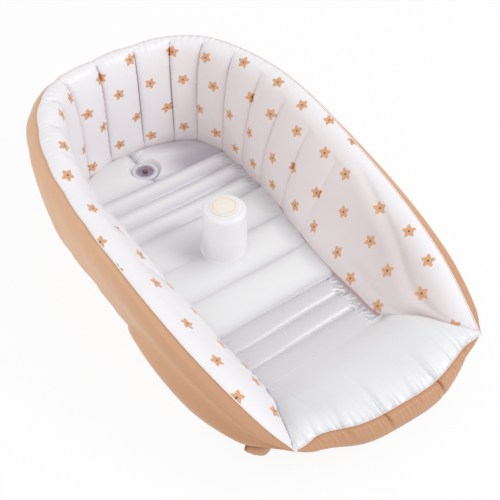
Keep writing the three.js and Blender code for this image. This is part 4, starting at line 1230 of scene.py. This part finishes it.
class BATHTUB_OT_backrest(bpy.types.Operator):
    """Builds the backrest pad and the tan wall that carries it at the low end"""

    bl_idname = "bathtub.backrest"
    bl_label = "Backrest and low end"

    def execute(self, context):
        front, flank_y = pad_front()
        p = np.linspace(0, 1, PAD_ROWS)
        top = pad_top(front, p, flank_y)
        bottom = pad_underside(front, np.linspace(1, 0, UNDER_ROWS)[1:], flank_y)
        rings = np.concatenate([top, bottom], axis=1)
        painted_shade = around(pad_painted_shade(top, front, p, flank_y), top, 0, bottom.shape[1])
        options = {"marks": {"painted_shade": painted_shade}, "fill": 0.85, "soft": True}
        make_piece("backrest_pad_skin", rings, clear_white_vinyl, ["backrest_pad"], "mat_skin", **options)
        rings, marks = low_end_wall(front, flank_y)
        options["marks"] = marks
        make_piece("outer_wall_foot_skin", rings, tan_vinyl, ["outer_wall_foot"], "tan_skin", **options)
        return {"FINISHED"}


TUCK_WIDTH, TUCK_REACH, TUCK_FOLD = 40, 11.5, 1.6


class BATHTUB_OT_corner_tucks(bpy.types.Operator):
    """Folds the tan tucks under the two low corners"""

    bl_idname = "bathtub.corner_tucks"
    bl_label = "Corner tucks"

    def execute(self, context):
        v = np.linspace(0, 1, 25)
        place = PAD_PLACE + v
        s = Sections(place)
        lowest = lowest_at(place) - FIT_GAP
        ground = outer_skin(s, [0.0, 1.0])[:, 1]
        away = (ground - s.foot) * [1, 1, 0]
        away /= np.linalg.norm(away, axis=1)[:, None]
        bottom = lowest * 0.9 * v**3
        tall = lowest - bottom
        width = TUCK_WIDTH * (1 - 0.5 * v)
        reach = TUCK_REACH * (1 - v**1.5)
        outs = [-width, -width / 2, reach, reach, -width / 4, -width]
        heights = [lowest, lowest, lowest - tall * 0.17, (lowest + bottom) / 2, bottom, bottom]
        outlines = np.stack([np.array(outs), np.array(heights)], axis=2)
        rings = []
        for k in range(len(v)):
            shape = rounded(outlines[:, k], min(6, 0.4 * max(tall[k], 0.2)), 5)
            fold = TUCK_FOLD * np.sin(shape[:, 1] / 3.1 + 9 * v[k]) * smooth(shape[:, 0], -12, 2) * (1 - v[k])
            points = ground[k] + away[k] * (shape[:, :1] - np.abs(fold)[:, None])
            points[:, 2] = shape[:, 1]
            rings.append(points)
        rings = np.array(rings)
        flat = np.zeros(rings.shape[:2])
        folded = flat + smooth(v, 0.16, 0.02)[:, None]
        options = {"marks": {"seam_distance": flat + 30, "crease": flat, "fold_edge": folded}, "soft": True}
        for side, turn in (("right", 1), ("left", -1)):
            node = f"corner_tuck_{side}"
            make_piece(f"{node}_fold", rings * [1, turn, 1], tan_vinyl, [node], "tan_skin", **options)
        return {"FINISHED"}


# Welds and tips

FLANGE_HEIGHT = 1.6
FLANGE_SWAY = 0.25
TIP_OUTLINE = [(-16, -2.2), (-9, -4.6), (-1, -3.8), (3.4, -1.9), (4.4, 0)]
TIP_OUTLINE += [(x, -y) for x, y in TIP_OUTLINE[-2::-1]]
# Each layer's inset toward the tip's middle and its height
TIP_LAYERS = ((0.1, -0.8), (0.0, -0.5), (0.0, 0.5), (0.1, 0.8))


def box_outline(width, low, high):
    return [(-width / 2, low), (width / 2, low), (width / 2, high), (-width / 2, high)]


def flange(centres, outs, thick):
    """A thin welded edge that stands on a line of points and waves a little from side to side."""
    outline = rounded(box_outline(thick, 0, FLANGE_HEIGHT), thick / 2, 3)
    sway = FLANGE_SWAY * ripple(run_length(centres), 12, 0.6)
    across = outline[:, 0] + sway[:, None] * outline[:, 1] / FLANGE_HEIGHT
    rings = centres[:, None, :] + outs[:, None, :] * across[..., None]
    rings[..., 2] = centres[:, 2:] + outline[:, 1]
    return rings


class BATHTUB_OT_welds(bpy.types.Operator):
    """Builds the welded edges along the rim and the low end, and the two corner tips"""

    bl_idname = "bathtub.welds"
    bl_label = "Welds and tips"

    def execute(self, context):
        s = Sections(np.linspace(-END_PLACE, END_PLACE, 501))
        rim = flange(s.rim + 0.5 * s.normal - [0, 0, 0.3], s.normal, 2.0)
        self.weld("rim_weld", rim, rim_weld_vinyl)
        seam = seam_line(pad_front()[0][:, 1]) + [0.3, 0, -0.2]
        self.weld("foot_weld", flange(seam, np.tile([1.0, 0.0, 0.0], (len(seam), 1)), 1.1), white_vinyl)
        for side, turn in (("right", 1), ("left", -1)):
            self.tip(f"corner_tip_{side}", turn)
        return {"FINISHED"}

    def weld(self, node, rings, make):
        outside = np.tile(np.arange(rings.shape[1]) < rings.shape[1] // 2, (len(rings), 1))
        options = {"marks": {"outside": outside}, "sharp": 80, "soft": True}
        make_piece(f"{node}_edge", rings, make, [node], "white_skin", **options)

    def tip(self, node, turn):
        outline = rounded(TIP_OUTLINE, 1.2, 3)
        layers = []
        for inset, z in TIP_LAYERS:
            shape = outline + (outline.mean(0) - outline) * inset
            x = shape[:, 0]
            lift = z + 0.5 * np.sin(x / 2.2) + 0.06 * x + 3.4 * smooth(x, 1, -9)
            layers.append(np.column_stack([shape, lift]))
        spin = np.array(Matrix.Rotation(turn * math.pi / 4, 3, "Z"))
        rings = np.array(layers) @ spin.T + [CORNER_X, turn * CORNER_Y, CORNER_RIM_HEIGHT]
        make_piece(f"{node}_flange", rings, white_vinyl, [node], "white_skin", sharp=60, soft=True)


# Pillar

ROUND_STEPS = 96
TUBE_HEIGHT = 88
TUBE_RADIUS = 40
SHOULDER_RADIUS = 9
FOOT_RING = [(40.3, 50), (46, 50), (45.9, 50.1), (44, 50.2), (42.2, 50.35), (41, 50.6), (40.3, 51.2)]
TOP_SHEET = [(0, 147.2), (30.6, 147.2), (31, 147.35), (30.4, 147.7), (28, 148.3), (20, 148.8), (0, 148.8)]
DISC = [(0, 149.1), (25.0, 149.1), (25.5, 149.4), (25.4, 150.0), (24.6, 150.4), (16, 150.7), (0, 150.9)]


class BATHTUB_OT_pillar(bpy.types.Operator):
    """Builds the pillar with its weld ring, top sheet and plain disc"""

    bl_idname = "bathtub.pillar"
    bl_label = "Pillar"

    def execute(self, context):
        profile = [(0, MAT_HEIGHT)]
        for z in np.linspace(0, TUBE_HEIGHT, 24):
            puffed = 0.5 * math.sin(math.pi * z / TUBE_HEIGHT) + 0.25 * math.exp(-z / 2)
            profile.append((TUBE_RADIUS + puffed, MAT_HEIGHT + z))
        for angle in np.linspace(0, math.pi / 2, 12)[1:]:
            radius = TUBE_RADIUS + SHOULDER_RADIUS * (math.cos(angle) - 1)
            profile.append((radius, MAT_HEIGHT + TUBE_HEIGHT + SHOULDER_RADIUS * math.sin(angle)))
        profile += [(22, PILLAR_TOP), (10, PILLAR_TOP), (0, PILLAR_TOP)]
        body = moved(solid_turned(profile, ROUND_STEPS), PILLAR_X)
        make_piece("pillar_tube", body, pillar_vinyl, ["pillar_body"], "mat_skin", fill=1.0, sharp=80)
        points, faces = moved(ring_turned(FOOT_RING, ROUND_STEPS), PILLAR_X)
        angle = np.arctan2(points[:, 1], points[:, 0] - PILLAR_X)
        points[:, 2] += 0.1 * (1 + ripple(angle * 43, 11, 0.4)) * smooth(points[:, 2], 50.1, 50.5)
        # The weld ring takes a little of the mat's painted shade.
        ring, options = (points, faces), {"marks": {"painted_shade": np.full(len(points), 0.15)}, "sharp": 80}
        make_piece("pillar_foot_weld", ring, clear_white_vinyl, ["pillar_weld_ring"], "mat_skin", **options)
        top = moved(solid_turned(TOP_SHEET, ROUND_STEPS), PILLAR_X)
        make_piece("pillar_top_skin", top, pillar_vinyl, ["pillar_top_sheet"], "mat_skin")
        disc = moved(solid_turned(DISC, ROUND_STEPS), PILLAR_X)
        make_piece("pillar_disc_print", disc, cream_disc, ["pillar_disc"], "cream_print")
        return {"FINISHED"}


# Drain

FITTING = [(14.5, 0.5), (18, 0.5), (18, 41.3), (27, 41.3), (27, 42.9), (25.4, DRAIN_TOP), (22.6, DRAIN_TOP)]
FITTING += [(21.2, 43.2), (19.4, 43.2), (18.2, DRAIN_TOP), (16, DRAIN_TOP), (14.5, 42.8)]
# The plug's and the tab's profiles, from the plug's flat top
PLUG_TOP = DRAIN_TOP - 2
PLUG = [(0, -12), (12.4, -12), (13, -11.5), (14.1, -0.8), (14.15, -0.2), (13.7, 0), (12.6, 0)]
PLUG += [(11.8, -0.7), (10.8, -1.6), (8.5, -2.0), (0, -2.0)]
TAB = [(0, -2.0), (5.2, -2.0), (5.8, -1.4), (5.6, 1.4), (6.0, 3.2), (5.6, 4.4), (4.2, 5), (0, 5)]
TAB_WIDTH_SHARE = 0.62


class BATHTUB_OT_drain(bpy.types.Operator):
    """Builds the drain fitting, its plug and the plug's tab"""

    bl_idname = "bathtub.drain"
    bl_label = "Drain"

    def execute(self, context):
        points, faces = ring_turned(rounded(FITTING, 0.7, 3), ROUND_STEPS)
        marks = {"smoky": smooth(np.hypot(points[:, 0], points[:, 1]), 19.6, 18.6)}
        fitting = moved((points, faces), DRAIN_X)
        nodes = ["drain_fitting"]
        make_piece("drain_fitting_body", fitting, clear_plastic, nodes, "clear_plastic", marks=marks)
        plug = moved(solid_turned(PLUG, ROUND_STEPS), DRAIN_X, 0, PLUG_TOP)
        body = "drain_plug"
        make_piece(f"{body}_body", plug, smoky_plug_plastic, [body], "clear_plastic", body=body)
        points, faces = solid_turned(TAB, 64)
        turned = np.array(Matrix.Rotation(math.pi / 4, 3, "Z"))
        tab = points * [1, TAB_WIDTH_SHARE, 1] @ turned.T + [DRAIN_X, 0, PLUG_TOP], faces
        make_piece(f"{body}_pull", tab, brown_plastic, ["drain_plug_tab"], "brown_plastic", body=body)
        return {"FINISHED"}


# Air valves

VALVE_BASE = [(4.5, -6), (6.5, -6), (6.5, 0), (18, 0), (18, 1.0), (16.8, 1.6), (8.4, 1.6)]
VALVE_BASE += [(6.5, 2.4), (6.5, 6.6), (4.5, 6.6)]
CAP = [(0, -3), (2.9, -3), (3.25, -2.7), (4.15, 0), (6.6, 0), (7.0, 0.4), (7.0, 1.5), (6.2, 2.2)]
CAP += [(4.4, 2.2), (3.6, 1.7), (0, 1.7)]
FLAP = [(0, -7.3), (5.2, -7.3), (5.5, -7.1), (5.5, -6.5), (5.2, -6.3), (0, -6.3)]
KNUCKLE = [(0, -2.5), (0.8, -2.5), (1.0, -2.3), (1.0, 2.3), (0.8, 2.5), (0, 2.5)]
KNUCKLE_Y = -14.5
KNUCKLE_Z = 1.6 + FIT_GAP + 1
CAP_BOTTOM = 6.6 + FIT_GAP
STRAP_Z = CAP_BOTTOM + 1.1
STRAP_PATH = [(KNUCKLE_Y, KNUCKLE_Z - 0.4), (KNUCKLE_Y, KNUCKLE_Z + 1.4), (-14.2, KNUCKLE_Z + 3.0)]
STRAP_PATH += [(-13.1, STRAP_Z - 0.35), (-11.4, STRAP_Z), (-8, STRAP_Z), (-5, STRAP_Z)]


def strap_shell():
    """Flat strap from the knuckle on the flange up to the stopper's cap, swept with round edges."""
    path = centripetal([(0, y, z) for y, z in STRAP_PATH], np.linspace(0, 1, 25))[:, 1:]
    ahead = np.gradient(path, axis=0)
    ahead /= np.linalg.norm(ahead, axis=1)[:, None]
    outline = rounded(box_outline(5, -0.6, 0.6), 0.5, 3)
    points = [
        (w, y - dz * h, z + dy * h) for (y, z), (dy, dz) in zip(path, ahead) for w, h in outline
    ]
    return np.array(points), ring_faces(len(path), len(outline))


def stopper_shell():
    """The stopper: its cap, its strap and the knuckle on which it swings."""
    points, faces = solid_turned(KNUCKLE, 24)
    knuckle = moved((np.roll(points, 1, axis=1), faces), 0, KNUCKLE_Y, KNUCKLE_Z)
    return merged([moved(solid_turned(CAP, 64), 0, 0, CAP_BOTTOM), strap_shell(), knuckle])


class BATHTUB_OT_valves(bpy.types.Operator):
    """Builds the bases, stoppers and check flaps of the two air valves"""

    bl_idname = "bathtub.valves"
    bl_label = "Air valves"

    def execute(self, context):
        pieces = (
            ("base", ring_turned(rounded(VALVE_BASE, 0.5, 3), 72)),
            ("stopper", stopper_shell()),
            ("flap", solid_turned(FLAP, 48)),
        )
        for name, valve in VALVES.items():
            seat = skin_frame(*valve) @ Matrix.Translation((0, 0, FIT_GAP - 2.4))
            for part, shell in pieces:
                node = f"{name}_{part}"
                shell = placed(shell, seat)
                body = BODY if part == "base" else node
                make_piece(f"{node}_body", shell, clear_plastic, [node], "clear_plastic", body=body)
        return {"FINISHED"}


# Stage

CAMERA_AZIMUTH, CAMERA_ELEVATION, CAMERA_ROLL = (math.radians(a) for a in (52.862, 45.304, 0.137))
CAMERA_PLACE = (0.87103, -0.64041, 1.17299)
CAMERA_LENS = 62.225
KEY_SIZE, KEY_PLACE = 0.8, (1.45, 1.4, 1.85)
FILL_SIZE, FILL_PLACE = 2.0, (0.8, -1.9, 1.9)
LAMP_AIM = (0.0, 0.0, 0.1)


class BATHTUB_OT_stage(bpy.types.Operator):
    """Sets the floor, the light and the camera"""

    bl_idname = "bathtub.stage"
    bl_label = "Stage"

    def execute(self, context):
        stage = context.scene.bathtub_stage
        self.camera()
        self.floor()
        self.world(stage.sky_strength)
        self.lamp("key_light", stage.key_power, KEY_SIZE, KEY_PLACE)
        self.lamp("fill_light", stage.fill_power, FILL_SIZE, FILL_PLACE)
        context.scene.view_settings.view_transform = "Standard"
        return {"FINISHED"}

    def camera(self):
        data = bpy.data.cameras.new("camera")
        data.sensor_width = 36
        data.lens = CAMERA_LENS
        data.clip_start = 0.05
        camera = added("camera", data)
        camera.matrix_world = (
            Matrix.Translation(CAMERA_PLACE)
            @ Matrix.Rotation(CAMERA_AZIMUTH, 4, "Z")
            @ Matrix.Rotation(math.pi / 2 - CAMERA_ELEVATION, 4, "X")
            @ Matrix.Rotation(CAMERA_ROLL, 4, "Z")
        )
        bpy.context.scene.camera = camera

    def floor(self):
        """A floor that shows white to the camera and in reflections, and takes soft shadows."""
        mesh = bpy.data.meshes.new("floor")
        mesh.from_pydata([(-8, -8, 0), (8, -8, 0), (8, 8, 0), (-8, 8, 0)], [], [(0, 1, 2, 3)])
        floor = added("floor", mesh)
        floor.location.z = -0.0005
        finish = Finish("pale_floor", 0.9)
        finish.look(Base_Color=linear((250, 250, 250)), Specular_IOR_Level=0.1)
        path = finish.node("ShaderNodeLightPath").outputs
        seen = finish.math("ADD", path["Is Camera Ray"], path["Is Glossy Ray"])
        seen = finish.math("ADD", seen, path["Is Transmission Ray"], clamp=True)
        glow = finish.node("ShaderNodeEmission", (1, 1, 1, 1), 1.0)
        surface = finish.shader.outputs[0], glow.outputs[0]
        mix = finish.node("ShaderNodeMixShader", finish.times(seen, 0.92), *surface)
        finish.set(finish.first("OUTPUT_MATERIAL"), Surface=mix.outputs[0])
        mesh.materials.append(finish.material)

    def world(self, sky_strength):
        """Even light of sky_strength, seen as plain white by the camera and through clear plastic."""
        world = bpy.data.worlds.new("studio")
        bpy.context.scene.world = world
        nodes = Nodes(world)
        path = nodes.node("ShaderNodeLightPath").outputs
        seen = nodes.math("MAXIMUM", path["Is Camera Ray"], path["Is Transmission Ray"])
        level = nodes.node("ShaderNodeMapRange", seen, 0.0, 1.0, sky_strength, 1.0)
        nodes.set(nodes.first("BACKGROUND"), Color=(1, 1, 1, 1), Strength=level.outputs[0])

    def lamp(self, name, power, size, place):
        data = bpy.data.lights.new(name, "AREA")
        data.shape = "SQUARE"
        data.size = size
        data.energy = power
        lamp = added(name, data)
        lamp.location = place
        lamp.rotation_euler = (Vector(LAMP_AIM) - Vector(place)).to_track_quat("-Z", "Y").to_euler()


# Add-on

LENGTH = {"subtype": "DISTANCE", "unit": "LENGTH"}


class BathtubLooks(bpy.types.PropertyGroup):
    """Sizes and colours of the skins"""

    blossom_size: bpy.props.FloatProperty(
        name="Blossom size",
        description="Width of one printed blossom",
        default=0.024,
        min=0.005,
        max=0.08,
        **LENGTH,
    )
    blossom_pitch: bpy.props.FloatProperty(
        name="Blossom pitch",
        description="Distance between printed blossoms along a row",
        default=0.07,
        min=0.02,
        max=0.2,
        **LENGTH,
    )
    pucker_depth: bpy.props.FloatProperty(
        name="Pucker depth",
        description="Depth of the small gathers along the inner wall's welds",
        default=0.001,
        min=0,
        max=0.004,
        **LENGTH,
    )
    tan: bpy.props.FloatVectorProperty(
        name="Tan",
        description="Colour of the outer sheet in the viewport",
        default=linear((212, 168, 132)),
        size=4,
        min=0,
        max=1,
        subtype="COLOR",
    )


class BathtubStage(bpy.types.PropertyGroup):
    """Strengths of the lights"""

    key_power: bpy.props.FloatProperty(
        name="Key light",
        description="Power of the lamp high above the tub's right side",
        default=19,
        min=0,
        unit="POWER",
    )
    fill_power: bpy.props.FloatProperty(
        name="Fill light",
        description="Power of the soft lamp at the tub's left side",
        default=9,
        min=0,
        unit="POWER",
    )
    sky_strength: bpy.props.FloatProperty(
        name="Sky",
        description="Strength of the even light from all around",
        default=0.69,
        min=0,
        max=2,
    )


OPERATORS = (
    BATHTUB_OT_stage,
    BATHTUB_OT_inner_wall,
    BATHTUB_OT_outer_wall,
    BATHTUB_OT_floor_mat,
    BATHTUB_OT_base_sheet,
    BATHTUB_OT_backrest,
    BATHTUB_OT_corner_tucks,
    BATHTUB_OT_welds,
    BATHTUB_OT_pillar,
    BATHTUB_OT_drain,
    BATHTUB_OT_valves,
)


class BATHTUB_PT_build(bpy.types.Panel):
    """Lists the bathtub's settings and its building steps"""

    bl_label = "Bathtub"
    bl_idname = "BATHTUB_PT_build"
    bl_space_type = "VIEW_3D"
    bl_region_type = "UI"
    bl_category = "Bathtub"

    def draw(self, context):
        layout = self.layout
        for group in (context.scene.bathtub_looks, context.scene.bathtub_stage):
            box = layout.box()
            for name in group.bl_rna.properties.keys():
                if name not in ("rna_type", "name"):
                    box.prop(group, name)
        for operator in OPERATORS:
            layout.operator(operator.bl_idname)


CLASSES = (BathtubLooks, BathtubStage, *OPERATORS, BATHTUB_PT_build)


def register():
    for cls in CLASSES:
        bpy.utils.register_class(cls)
    bpy.types.Scene.bathtub_looks = bpy.props.PointerProperty(type=BathtubLooks)
    bpy.types.Scene.bathtub_stage = bpy.props.PointerProperty(type=BathtubStage)


def unregister():
    del bpy.types.Scene.bathtub_stage
    del bpy.types.Scene.bathtub_looks
    for cls in reversed(CLASSES):
        bpy.utils.unregister_class(cls)


def main():
    register()
    for operator in OPERATORS:
        group, name = operator.bl_idname.split(".")
        getattr(getattr(bpy.ops, group), name)()


if __name__ == "__main__":
    main()
